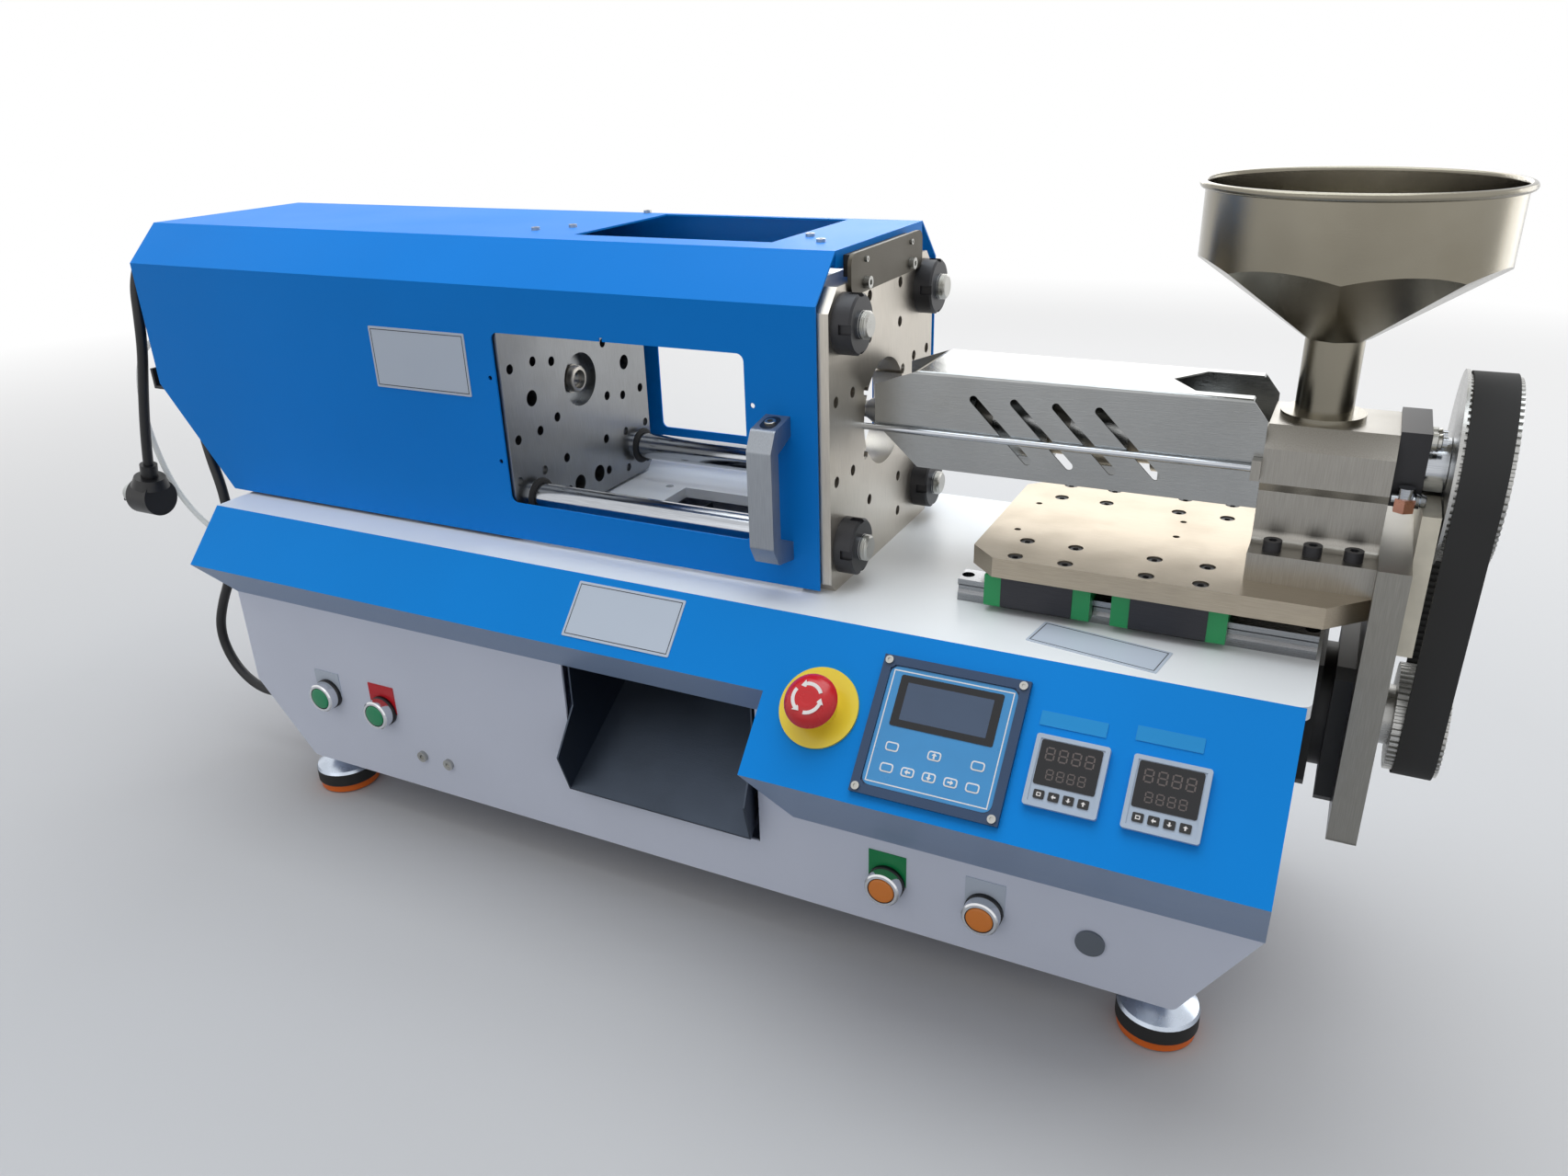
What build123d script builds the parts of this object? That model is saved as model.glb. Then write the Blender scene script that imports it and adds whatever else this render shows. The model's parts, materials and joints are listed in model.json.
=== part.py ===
from build123d import *
import math
import os

# Benchtop injection moulding machine, in millimetres.
# The machine is drawn from its own datum: x from the fixed platen's injection-side face,
# y back from the cabinet's front panel, z up from the deck's top face. write_part() then
# moves every piece to the part frame, whose origin is on the floor under the middle.

# Deck, cabinet and feet
deck_left = -634.0
deck_right = 343.5
deck_back = 292.0
deck_thickness = 10.0
deck_corner_radius = 8.0
deck_edge_inset = 2.5
cabinet_height = 256.0
cabinet_wall = 2.0
cabinet_flange = 20.0
cabinet_bend = 7.0
left_skirt_height = 180.0
right_skirt_height = 174.0
left_toe_inset = 62.0
right_toe_inset = 52.0
foot_height = 45.0
foot_radius = 31.0
foot_ring_height = 9.0
foot_pad_height = 13.0
foot_stud_radius = 6.0
foot_nut_height = 8.0
left_foot_edge = 8.0
right_foot_edge = 14.0
foot_edge_y = 30.0

# Sloping control console
slope_angle = 46.85
console_wall = 1.5
narrow_slope = 62.5
wide_slope = 126.5
console_step_x = -18.5

# Injection axis
axis_y = 147.0
axis_z = 118.0

# Platens and tie bars
fixed_platen_thickness = 27.0
platen_half_width = 107.0
platen_height = 230.0
platen_top_chamfer = 16.0
platen_bottom_chamfer = 8.0
platen_bore_radius = 42.5
tap_radius = 4.25
tie_bar_radius = 12.5
tie_bar_spacing_y = 164.0
tie_bar_top_edge = 27.0
tie_bar_bottom_edge = 33.0
tie_thread_radius = 10.0
tie_nut_radius = 22.0
tie_nut_length = 15.0
tie_thread_over = 2.0
tie_slot_width = 7.0
tie_slot_depth = 2.6
tie_slot_length = 9.0
rear_platen_thickness = 25.0
rear_platen_face_x = -415.0
mould_opening = 270.0
moving_platen_thickness = 25.0
moving_platen_lift = 3.0
clamp_stroke = 170.0

# Bush flanges, thrust bridge, clamp cylinder and ejector
bush_flange_width = 48.0
bush_flange_height = 50.0
bush_flange_thickness = 6.0
bush_sleeve_radius = 18.0
bush_clearance = 0.06
flange_screw_radius = 4.0
bridge_length = 63.0
bridge_plate_thickness = 15.0
bridge_half_width = 60.0
bridge_post_radius = 8.0
bridge_post_offset = 45.0
cylinder_bore_radius = 40.0
cylinder_wall = 4.0
cylinder_head_half = 50.0
cylinder_head_thickness = 22.0
cylinder_end_play = 7.0
piston_thickness = 18.0
piston_clearance = 0.08
piston_rod_radius = 12.5
cylinder_stud_radius = 4.0
ejector_bore_radius = 24.0
ejector_bore_depth = 10.0
ejector_rod_radius = 6.0
ejector_head_radius = 9.0
ejector_head_thickness = 7.0
ejector_stroke = 30.0
ejector_body_radius = 24.0
ejector_body_length = ejector_stroke + 16.0

# Hood over the clamp
hood_wall = 1.5
hood_left = -727.0
hood_right = -8.5
hood_front = 37.0
hood_back = 285.0
hood_bottom = 3.0
hood_headroom = 22.0
hood_eave_drop = 33.0
hood_chamfer = 35.0
hood_tail_low = 103.0
hood_tail_run = 75.0
hood_lip = 12.0
window_left = -300.0
window_right = -67.0
window_bottom = 36.0
window_top = 182.0
window_corner = 6.0
roof_opening = (-254.0, -73.0, 100.0, 243.0)
pane_hole_radius = 2.0
bracket_left = 74.0
bracket_right = 219.0
bracket_overlap = 10.0
bracket_thickness = 3.0
standoff_radius = 9.0

# Grab handle on the hood
handle_x = -40.0
handle_width = 20.0
handle_low = 26.0
handle_high = 139.0
handle_stand = 33.0
handle_bar = 12.0
handle_foot = 15.0

# Rails and carriage
rail_width = 20.0
rail_height = 17.5
rail_end_inset = 2.5
rail_length = 250.0
rail_offset = 67.5
rail_hole_pitch = 60.0
block_width = 44.0
block_bottom = 4.6
block_top = 30.0
block_steel_length = 52.0
block_cap_length = 12.6
block_clearance = 0.25
block_first_x = 153.3
block_pitch = 92.0
block_bolt_x = 36.0
block_bolt_y = 32.0
carriage_left = 101.0
carriage_overhang = 23.5
carriage_half_width = 92.5
carriage_thickness = 15.0
plate_screw_radius = 3.0
plate_screw_head_radius = 5.0

# Feed block, barrel and guard
feed_length = 79.0
feed_flange_half = 65.0
feed_flange_top = 65.0
feed_body_half = 42.0
feed_top = 145.0
feed_chamfer = 14.0
feed_step_z = 104.0
feed_step = 3.0
feed_step_band = 6.0
feed_fillet = 8.0
feed_screw_pitch = 25.0
feed_screw_radius = 3.5
feed_screw_head = 6.0
barrel_radius = 19.0
barrel_bore_radius = 8.5
barrel_tip_x = 22.0
nozzle_radius = 14.0
nozzle_tip_x = -24.0
heater_radius = 24.0
heater_length = 42.0
heater_gap = 16.0
guard_wall = 1.2
guard_left = 8.0
guard_half = 40.0
guard_top = 162.5
guard_bottom = 88.0
guard_mitre_x = 35.0
guard_mitre_top = 12.5
guard_mitre_low = 32.0
guard_end_mitre = 14.0
guard_cut_half = 29.0
guard_cut_tip_x = 219.6
guard_cut_side_x = 239.0
guard_slot_first_x = 107.0
guard_slot_pitch = 30.6
guard_slot_z = 123.5
guard_slot_length = 66.0
guard_slot_width = 6.0
stop_rod_radius = 2.6
stop_rod_y = 103.6
stop_rod_depth = 10.0
stop_lug_length = 6.0
stop_gap = 0.3

# Hopper
hopper_setback = 31.0
hopper_bead_radius = 2.5
hopper_bowl_radius = 92.0
hopper_rim_z = 295.5
hopper_bowl_z = 253.0
hopper_facet_over = 2.0
hopper_facet_inset = 2.0
hopper_collar_height = 2.0
hopper_neck_radius = 18.5
hopper_neck_z = 199.0
hopper_wall = 1.2
hopper_flange_radius = 27.0
hopper_flange_thickness = 4.0
feed_throat_radius = 12.0
facet_count = 8

# Screw drive
screw_radius = 8.0
screw_flight_pitch = 16.0
drive_shaft_radius = 12.5
shaft_clearance = 0.06
housing_thickness = 18.0
housing_half = 32.0
housing_low = 98.0
housing_high = 148.0
collar_radius = 20.0
pulley_gap = 1.0
pulley_width = 32.0
pulley_pitch = 5.0
pulley_tip_drop = 0.57
pulley_tooth_depth = 2.1
large_pulley_teeth = 78
small_pulley_teeth = 50
pulley_flange_over = 3.0
pulley_flange_thickness = 2.0
belt_clearance = 0.3
belt_thickness = 2.0
belt_inset = 3.8
belt_width = 25.5
motor_axis_z = -70.0
motor_plate_thickness = 19.5
motor_plate_half = 86.0
motor_plate_low = -133.0
motor_plate_high = 72.5
motor_half = 54.0
motor_length = 165.0
motor_flange = 12.0
motor_spigot_radius = 40.0
motor_shaft_radius = 9.5
spacer_thickness = 11.0
spacer_low = 5.0
spacer_high = 103.0
spacer_half = 60.0

# Controls on the slope, as x and distance down the slope
estop_place = (28.0, 66.0)
estop_disc_radius = 30.0
estop_disc_thickness = 2.0
estop_collar_radius = 15.0
estop_collar_height = 8.0
estop_travel = 4.0
estop_gap = estop_travel + 1.0
estop_knob_radius = 20.0
estop_knob_height = 14.0
estop_stem_radius = 8.0
display_box = (67.0, 172.6, 18.0, 118.0)
display_height = 4.0
display_face_drop = 1.5
display_frame = 6.5
controller_size = 48.0
controller_height = 5.0
controller_body = 44.0
controller_depth = 30.0
controller_places = ((184.25, 51.0), (247.1, 51.0))

# Pushbuttons on the front panel, as x and height
button_places = ((-531.0, -184.0), (-460.0, -187.0), (64.0, -222.0), (144.0, -223.0))
button_bezel_radius = 14.75
button_gasket_height = 5.0
button_bezel_height = 9.0
button_cap_radius = 11.2
button_travel = 3.0
button_running_gap = 0.3
button_barrel_radius = 11.0
button_barrel_depth = 30.0
plug_place = (225.0, -226.0)
plug_radius = 11.0
panel_screw_places = ((-419.0, -229.0), (-387.0, -230.0))

# Chute under the mould
chute_left = -237.6
chute_right = -50.4
chute_back_left = -205.0
chute_back_right = -80.0
chute_wall = 1.5
chute_lip_y = -11.0
chute_lip_z = -210.0
chute_nose_y = -22.0
chute_nose_z = -172.0
chute_back_y = 213.0
chute_back_z = -16.0
panel_cut_top = -91.0
panel_cut_bottom = -218.0
panel_cut_clearance = 0.4
drop_left = -235.0
drop_right = -60.0
drop_half = 68.5

# Mains lead and air hose
lead_radius = 5.0
hose_radius = 3.0
gland_y = 45.0
gland_z = -206.0
gland_length = 19.7
gland_radius = 10.0
hose_port_y = 74.0
hose_port_z = -91.5
hose_top_y = 58.0
hose_top_z = 148.4
peg_y = 104.0
peg_radius = 6.0
peg_length = 25.0
hook_low = 96.0
hook_high = 124.0
fitting_reach = 8.0
fitting_radius = 6.5
fitting_ball_over = 0.8
plug_body_radius = 19.0

# Worked out from the sizes above
cabinet_bottom = -deck_thickness - cabinet_height
floor_z = cabinet_bottom - foot_height
rear_platen_left = rear_platen_face_x - rear_platen_thickness
fixed_platen_left = -fixed_platen_thickness
moving_face_x = fixed_platen_left - mould_opening
moving_back_x = moving_face_x - moving_platen_thickness
bridge_left_x = moving_back_x - bridge_length - bridge_plate_thickness
cylinder_right = rear_platen_left
cylinder_inside = clamp_stroke + piston_thickness + 2 * cylinder_end_play
cylinder_left = cylinder_right - 2 * cylinder_head_thickness - cylinder_inside
carriage_bottom = block_top
carriage_top = carriage_bottom + carriage_thickness
carriage_right = deck_right + carriage_overhang
rail_left = deck_right - rail_end_inset - rail_length
feed_right = carriage_right
feed_left = feed_right - feed_length
hopper_x = feed_left + hopper_setback
pulley_left = carriage_right + motor_plate_thickness + spacer_thickness + pulley_gap
belt_left = pulley_left + belt_inset
hood_roof = platen_height + hood_headroom
hood_eave = hood_roof - hood_eave_drop
bracket_low = platen_height - bracket_overlap
large_tip_radius = large_pulley_teeth * pulley_pitch / (2 * math.pi) - pulley_tip_drop
small_tip_radius = small_pulley_teeth * pulley_pitch / (2 * math.pi) - pulley_tip_drop
tie_bar_places = [
    (axis_y + side * tie_bar_spacing_y / 2, level)
    for side in (-1, 1)
    for level in (tie_bar_bottom_edge, platen_height - tie_bar_top_edge)
]
block_centres = [block_first_x, block_first_x + block_pitch]
rail_lines = [axis_y - rail_offset, axis_y + rail_offset]
part_middle_x = (hood_left - peg_length + pulley_left + pulley_width) / 2
part_middle_y = (deck_back - wide_slope * math.cos(math.radians(slope_angle))) / 2
to_part_frame = Location((-part_middle_x, -part_middle_y, -floor_z))


def block(x0, x1, y0, y1, z0, z1):
    """A box from its two corners."""
    middle = ((x0 + x1) / 2, (y0 + y1) / 2, (z0 + z1) / 2)
    return Location(middle) * Box(x1 - x0, y1 - y0, z1 - z0)


def rod_x(radius, x0, x1, y, z):
    """A cylinder along x."""
    return extrude(Plane(origin=(x0, y, z), z_dir=(1, 0, 0)) * Circle(radius), amount=x1 - x0)


def rod_y(radius, y0, y1, x, z):
    """A cylinder along y."""
    return extrude(Plane(origin=(x, y0, z), z_dir=(0, 1, 0)) * Circle(radius), amount=y1 - y0)


def rod_z(radius, z0, z1, x, y):
    """A cylinder along z."""
    return extrude(Plane(origin=(x, y, z0), z_dir=(0, 0, 1)) * Circle(radius), amount=z1 - z0)


def profile(points):
    """A flat face from its corner points."""
    return make_face(Polyline(*points, close=True))


def along_x(face, x0, x1):
    """Extrude a face drawn in y and z."""
    plane = Plane(origin=(x0, 0, 0), x_dir=(0, 1, 0), z_dir=(1, 0, 0))
    return extrude(plane * face, amount=x1 - x0)


def along_y(face, y0, y1):
    """Extrude a face drawn in x and z."""
    plane = Plane(origin=(0, y0, 0), x_dir=(1, 0, 0), z_dir=(0, -1, 0))
    return extrude(plane * face, amount=y0 - y1)


def along_z(face, z0, z1):
    """Extrude a face drawn in x and y."""
    return extrude(Plane.XY.offset(z0) * face, amount=z1 - z0)


def slope_plane(x, down, proud=0.0):
    """The plane of the console's slope at x and a distance down it, facing out."""
    turn = math.radians(slope_angle)
    out = (0, -math.sin(turn), math.cos(turn))
    origin = (
        x,
        -down * math.cos(turn) + proud * out[1],
        -down * math.sin(turn) + proud * out[2],
    )
    return Plane(origin=origin, x_dir=(1, 0, 0), z_dir=out)


def socket_screw_x(x, y, z, head_radius, head_height, direction=1):
    """A cap screw's head standing on a face across x, with its hexagon socket."""
    plane = Plane(origin=(x, y, z), z_dir=(direction, 0, 0))
    head = extrude(plane * Circle(head_radius), amount=head_height)
    top = plane.offset(head_height)
    return head - extrude(top * RegularPolygon(head_radius * 0.5, 6), amount=-head_height * 0.5)


def socket_screw(plane, head_radius, head_height):
    """A cap screw's head standing on a plane, with its hexagon socket."""
    head = extrude(plane * Circle(head_radius), amount=head_height)
    top = plane.offset(head_height)
    return head - extrude(top * RegularPolygon(head_radius * 0.5, 6), amount=-head_height * 0.5)


# Deck and cabinet

foot_places = [
    (x, y)
    for x in (
        deck_left + left_toe_inset + left_foot_edge,
        deck_right - deck_edge_inset - right_toe_inset - right_foot_edge,
    )
    for y in (foot_edge_y, deck_back - foot_edge_y)
]


def make_deck():
    """The thick deck plate, with the drop opening under the mould."""
    deck = block(deck_left, deck_right, 0, deck_back, -deck_thickness, 0)
    right_edges = deck.edges().filter_by(Axis.Z).sort_by(Axis.X)[-2:]
    deck = fillet(right_edges, deck_corner_radius)
    deck -= block(
        drop_left, drop_right, axis_y - drop_half, axis_y + drop_half, -deck_thickness - 1, 1
    )
    for x in (drop_left - 16.7, drop_right + 16.7):
        deck -= rod_z(4.0, -deck_thickness - 1, 1, x, axis_y + drop_half - 2.5)
    return deck


def cabinet_outline(inset, top):
    """The cabinet's front outline in x and z, with its slanting toes."""
    left = deck_left + inset
    right = deck_right - deck_edge_inset - inset
    low = cabinet_bottom + inset
    left_knee = -deck_thickness - left_skirt_height
    right_knee = -deck_thickness - right_skirt_height
    outline = profile(
        [
            (left, top),
            (left, left_knee),
            (left + left_toe_inset, low),
            (right - right_toe_inset, low),
            (right, right_knee),
            (right, top),
        ]
    )
    bends = outline.vertices().sort_by(Axis.Y)[:4]
    return fillet(bends, cabinet_bend - inset)


def toe_plane(out=0.0):
    """The plane of the left toe at the cable gland, facing out, a chosen distance off it."""
    drop = cabinet_height - left_skirt_height
    length = math.hypot(drop, left_toe_inset)
    normal = (-drop / length, 0, -left_toe_inset / length)
    x = deck_left + (-deck_thickness - left_skirt_height - gland_z) * left_toe_inset / drop
    return Plane(origin=(x, gland_y, gland_z), x_dir=(0, 1, 0), z_dir=normal).offset(out)


def cabinet_shell():
    """The whole folded cabinet with its openings, before it is parted into sheets."""
    wall = cabinet_wall
    back = deck_back - deck_edge_inset
    shell = along_y(cabinet_outline(0, -deck_thickness), 0, back)
    shell -= along_y(cabinet_outline(wall, -deck_thickness - wall), wall, back - wall)
    shell -= block(
        deck_left + cabinet_flange,
        deck_right - cabinet_flange,
        cabinet_flange,
        back - cabinet_flange,
        -deck_thickness - wall - 1,
        -deck_thickness + 1,
    )
    gap = panel_cut_clearance
    shell -= block(
        chute_left - gap, chute_right + gap, -1, wall + 1, panel_cut_bottom, panel_cut_top
    )
    motor_gap = 6.0
    shell -= block(
        deck_right - cabinet_flange - 1,
        deck_right + 1,
        axis_y - motor_half - motor_gap,
        axis_y + motor_half + motor_gap,
        motor_axis_z - motor_half - motor_gap,
        -deck_thickness + 1,
    )
    shell -= block(display_box[0], controller_places[1][0] + controller_size, -1, wall + 1, -140, -40)
    for x, z in button_places:
        shell -= rod_y(button_barrel_radius, -1, wall + 1, x, z)
    shell -= rod_y(plug_radius - 1.5, -1, wall + 1, *plug_place)
    for x, y in foot_places:
        shell -= rod_z(foot_stud_radius, cabinet_bottom - 1, cabinet_bottom + wall + 1, x, y)
    shell -= extrude(toe_plane() * Circle(gland_radius - 2.5), amount=-wall - 2, both=True)
    shell -= rod_x(hose_radius + 1.0, deck_left - 1, deck_left + wall + 1, hose_port_y, hose_port_z)
    return shell


def make_cabinet():
    """The cabinet's sheets: a front and a back panel with their lips, and the tray between."""
    shell = cabinet_shell()
    back = deck_back - deck_edge_inset
    panels = []
    for face, inner, lip in (
        (-1, cabinet_wall, cabinet_flange + 1),
        (back + 1, back - cabinet_wall, back - cabinet_flange - 1),
    ):
        low, high = sorted((face, inner))
        sheet = block(deck_left - 1, deck_right + 1, low, high, cabinet_bottom - 1, 0)
        low, high = sorted((face, lip))
        sheet += block(
            deck_left + cabinet_flange, deck_right - cabinet_flange, low, high,
            -deck_thickness - cabinet_wall, 0,
        )
        panels.append(shell & sheet)
    return Compound(children=[*panels, shell - panels[0] - panels[1]])


def make_feet():
    """Four levelling feet: steel cups with stud and locknut, pads and rings."""
    cups, pads, rings = [], [], []
    ring_top = floor_z + foot_ring_height
    pad_top = ring_top + foot_pad_height
    cup_top = cabinet_bottom - foot_nut_height - 2.0
    for x, y in foot_places:
        rings.append(
            rod_z(foot_radius - 1.5, floor_z + 1.5, ring_top, x, y)
            - rod_z(foot_radius - 9.0, floor_z + 1.5, ring_top, x, y)
        )
        pads.append(
            rod_z(foot_radius - 9.0, floor_z, ring_top, x, y)
            + rod_z(foot_radius, ring_top, pad_top, x, y)
        )
        dome = Plane(origin=(x, y, 0), x_dir=(1, 0, 0), z_dir=(0, -1, 0)) * profile(
            [
                (0, pad_top),
                (foot_radius, pad_top),
                (foot_radius - 1.5, pad_top + 3.0),
                (foot_stud_radius + 9.0, cup_top),
                (0, cup_top),
            ]
        )
        cup = revolve(dome, Axis((x, y, 0), (0, 0, 1)))
        cup += rod_z(foot_stud_radius, cup_top, cabinet_bottom + 14.0, x, y)
        nut_face = Plane(origin=(x, y, cabinet_bottom - foot_nut_height)) * RegularPolygon(10.0, 6)
        nut = extrude(nut_face, amount=foot_nut_height)
        cups += [cup, nut - rod_z(foot_stud_radius, cup_top, cabinet_bottom, x, y)]
    return Compound(children=cups), Compound(children=pads), Compound(children=rings)


def console_section(length, inset=0.0):
    """The console's triangular section in y and z, for one slope length."""
    turn = math.radians(slope_angle)
    nose_y = -length * math.cos(turn)
    nose_z = -length * math.sin(turn)
    grow = inset / math.cos(turn)
    reach = inset / math.sin(turn)
    return profile([(0, -grow), (nose_y + reach, nose_z), (0, 2 * nose_z + grow)])


def make_console():
    """The folded console: sloping face, return underneath, closed ends and a step."""
    wall = console_wall
    right = deck_right - deck_edge_inset
    console = along_x(console_section(narrow_slope), deck_left, console_step_x)
    console += along_x(console_section(wide_slope), console_step_x, right)
    hollow = along_x(console_section(narrow_slope, wall), deck_left + wall, console_step_x + wall)
    hollow += along_x(console_section(wide_slope, wall), console_step_x + wall, right - wall)
    console -= hollow
    for x, down in controller_places:
        middle = slope_plane(x + controller_size / 2, down + controller_size / 2, 1.0)
        console -= extrude(middle * Rectangle(controller_body, controller_body), amount=-6)
    left, end, high, low = display_box
    centre = slope_plane((left + end) / 2, (high + low) / 2, 1.0)
    console -= extrude(centre * Rectangle(end - left - 16, low - high - 16), amount=-6)
    console -= extrude(slope_plane(*estop_place, 1.0) * Circle(estop_stem_radius + 3), amount=-6)
    return console


def make_chute():
    """The folded chute: sloping floor and two walls that fan out towards the front."""
    rise = (chute_back_z - chute_lip_z) / (chute_back_y - chute_lip_y)
    front_y = chute_nose_y - 6.0
    front_floor = chute_lip_z + rise * (front_y - chute_lip_y)

    def section(y, left, right, floor, top):
        return Plane(origin=(0, y, 0), x_dir=(1, 0, 0), z_dir=(0, -1, 0)) * profile(
            [(left, floor), (right, floor), (right, top), (left, top)]
        )

    wall = chute_wall
    outer = loft(
        [
            section(front_y, chute_left, chute_right, front_floor, 10),
            section(chute_back_y, chute_back_left, chute_back_right, chute_back_z, 10),
        ]
    )
    inner = loft(
        [
            section(front_y - 1, chute_left + wall, chute_right - wall, front_floor + wall, 20),
            section(
                chute_back_y + 1, chute_back_left + wall, chute_back_right - wall,
                chute_back_z + wall, 20,
            ),
        ]
    )
    behind = cabinet_wall + 1.0
    under = -deck_thickness
    side = profile(
        [
            (chute_lip_y, chute_lip_z - 6),
            (chute_lip_y, chute_lip_z),
            (chute_nose_y, chute_nose_z),
            (behind, chute_nose_z + 41.0),
            (behind, panel_cut_top - 1.0),
            (78.0, under),
            (chute_back_y, under),
            (chute_back_y, chute_back_z - 6),
        ]
    )
    return (outer - inner) & along_x(side, chute_left - 1, chute_right + 1)


# Platens, tie bars and clamp

hole_offsets = [
    (31.5, 65.0), (31.5, 96.0), (64.5, 30.5), (95.0, 30.5), (39.0, 25.0),
]


def platen_outline(half, low, high, chamfer_top, chamfer_low):
    """A platen's outline in y and z."""
    left, right = axis_y - half, axis_y + half
    return profile(
        [
            (left, low + chamfer_low),
            (left + chamfer_low, low),
            (right - chamfer_low, low),
            (right, low + chamfer_low),
            (right, high - chamfer_top),
            (right - chamfer_top, high),
            (left + chamfer_top, high),
            (left, high - chamfer_top),
        ]
    )


def tapped_holes(x0, x1):
    """The mould-fixing holes, mirrored about the injection axis both ways."""
    return [
        rod_x(tap_radius, x0, x1, axis_y + side * dy, axis_z + level * dz)
        for dy, dz in hole_offsets
        for side in (-1, 1)
        for level in (-1, 1)
    ]


def make_fixed_platen():
    """The fixed platen: locating bore, mould holes, tie bar holes and chamfers."""
    left = fixed_platen_left
    outline = platen_outline(
        platen_half_width, 0, platen_height, platen_top_chamfer, platen_bottom_chamfer
    )
    platen = along_x(outline, left, 0)
    cutters = [rod_x(platen_bore_radius, left - 1, 1, axis_y, axis_z)]
    cutters += tapped_holes(left - 1, 1)
    cutters += [rod_x(tie_thread_radius, left - 1, 1, y, z) for y, z in tie_bar_places]
    cutters.append(rod_x(stop_rod_radius, -stop_rod_depth, 1, stop_rod_y, axis_z - 1.0))
    return platen - Compound(children=cutters)


def make_rear_platen():
    """The rear platen that carries the clamp cylinder."""
    outline = platen_outline(
        platen_half_width, 0, platen_height, platen_top_chamfer, platen_bottom_chamfer
    )
    platen = along_x(outline, rear_platen_left, rear_platen_face_x)
    cutters = [
        rod_x(piston_rod_radius + 1.0, rear_platen_left - 1, rear_platen_face_x + 1, axis_y, axis_z)
    ]
    cutters += [
        rod_x(tie_thread_radius, rear_platen_left - 1, rear_platen_face_x + 1, y, z)
        for y, z in tie_bar_places
    ]
    return platen - Compound(children=cutters)


def make_tie_bars():
    """Four tie bars, shouldered between the platens, and their end nuts."""
    bars, nuts = [], []
    over = tie_nut_length + tie_thread_over
    for y, z in tie_bar_places:
        bar = rod_x(tie_bar_radius, rear_platen_face_x, fixed_platen_left, y, z)
        bar += rod_x(tie_thread_radius, rear_platen_left - over, rear_platen_face_x, y, z)
        bar += rod_x(tie_thread_radius, fixed_platen_left, over, y, z)
        bars.append(bar)
        for x0 in (0, rear_platen_left - tie_nut_length):
            nut = rod_x(tie_nut_radius, x0, x0 + tie_nut_length, y, z)
            rim = nut.edges().filter_by(GeomType.CIRCLE).group_by(Axis.X)[-1 if x0 == 0 else 0]
            nut = chamfer(rim, 1.5)
            outer = x0 + tie_nut_length if x0 == 0 else x0
            for side in (-1, 1):
                for dy, dz, turn in ((side * tie_nut_radius, 0, 0), (0, side * tie_nut_radius, 90)):
                    slot = Box(2 * tie_slot_length, 2 * tie_slot_depth, tie_slot_width)
                    nut -= Location((outer, y + dy, z + dz), (turn, 0, 0)) * slot
            nuts.append(nut - rod_x(tie_thread_radius, x0 - 1, x0 + tie_nut_length + 1, y, z))
    return Compound(children=bars), Compound(children=nuts)


def make_moving_platen():
    """The moving platen with its pockets for the bush flanges and the ejector bore."""
    outline = platen_outline(
        platen_half_width, moving_platen_lift, platen_height, platen_top_chamfer,
        platen_bottom_chamfer,
    )
    platen = along_x(outline, moving_back_x, moving_face_x)
    cutters = tapped_holes(moving_back_x - 1, moving_face_x + 1)
    depth = moving_face_x - bush_flange_thickness
    for y, z in tie_bar_places:
        cutters.append(rod_x(bush_sleeve_radius, moving_back_x - 1, moving_face_x + 1, y, z))
        cutters.append(
            block(
                depth, moving_face_x + 1, y - bush_flange_width / 2, y + bush_flange_width / 2,
                z - bush_flange_height / 2, z + bush_flange_height / 2,
            )
        )
    cutters.append(
        rod_x(ejector_bore_radius, moving_face_x - ejector_bore_depth, moving_face_x + 1, axis_y, axis_z)
    )
    cutters.append(
        rod_x(
            ejector_head_radius + 1.5, moving_back_x - 1, moving_face_x + 1, axis_y, axis_z
        )
    )
    for side in (-1, 1):
        cutters.append(
            rod_x(8.0, moving_back_x - 1, moving_face_x + 1, axis_y + side * 15.5, axis_z - 94.5)
        )
        cutters.append(rod_x(7.0, moving_back_x - 1, moving_face_x + 1, axis_y + side * 71, axis_z))
    return platen - Compound(children=cutters)


def make_bush_flanges():
    """Four flanged bushes that slide on the tie bars, each with its four screws."""
    pieces = []
    outline = platen_outline(
        platen_half_width, moving_platen_lift, platen_height, platen_top_chamfer,
        platen_bottom_chamfer,
    )
    low = moving_face_x - bush_flange_thickness
    for y, z in tie_bar_places:
        flange = block(
            low, moving_face_x, y - bush_flange_width / 2, y + bush_flange_width / 2,
            z - bush_flange_height / 2, z + bush_flange_height / 2,
        )
        flange += rod_x(bush_sleeve_radius, moving_back_x, moving_face_x, y, z)
        flange -= rod_x(tie_bar_radius + bush_clearance, moving_back_x - 1, moving_face_x + 1, y, z)
        flange &= along_x(outline, moving_back_x, moving_face_x)
        for side in (-1, 1):
            for level in (-1, 1):
                screw_y = y + side * (bush_flange_width / 2 - 6.5)
                screw_z = z + level * (bush_flange_height / 2 - 6.5)
                flange -= rod_x(
                    flange_screw_radius, moving_face_x - 3.5, moving_face_x + 1, screw_y, screw_z
                )
        pieces.append(flange)
    return Compound(children=pieces)


def make_thrust_bridge():
    """Four posts and a plate that join the moving platen to the piston rod."""
    low = moving_back_x - bridge_length
    half = bridge_half_width
    bridge = block(
        bridge_left_x, low, axis_y - half, axis_y + half, axis_z - half, axis_z + half
    )
    for side in (-1, 1):
        for level in (-1, 1):
            bridge += rod_x(
                bridge_post_radius, low, moving_back_x,
                axis_y + side * bridge_post_offset, axis_z + level * bridge_post_offset,
            )
    return bridge


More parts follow.
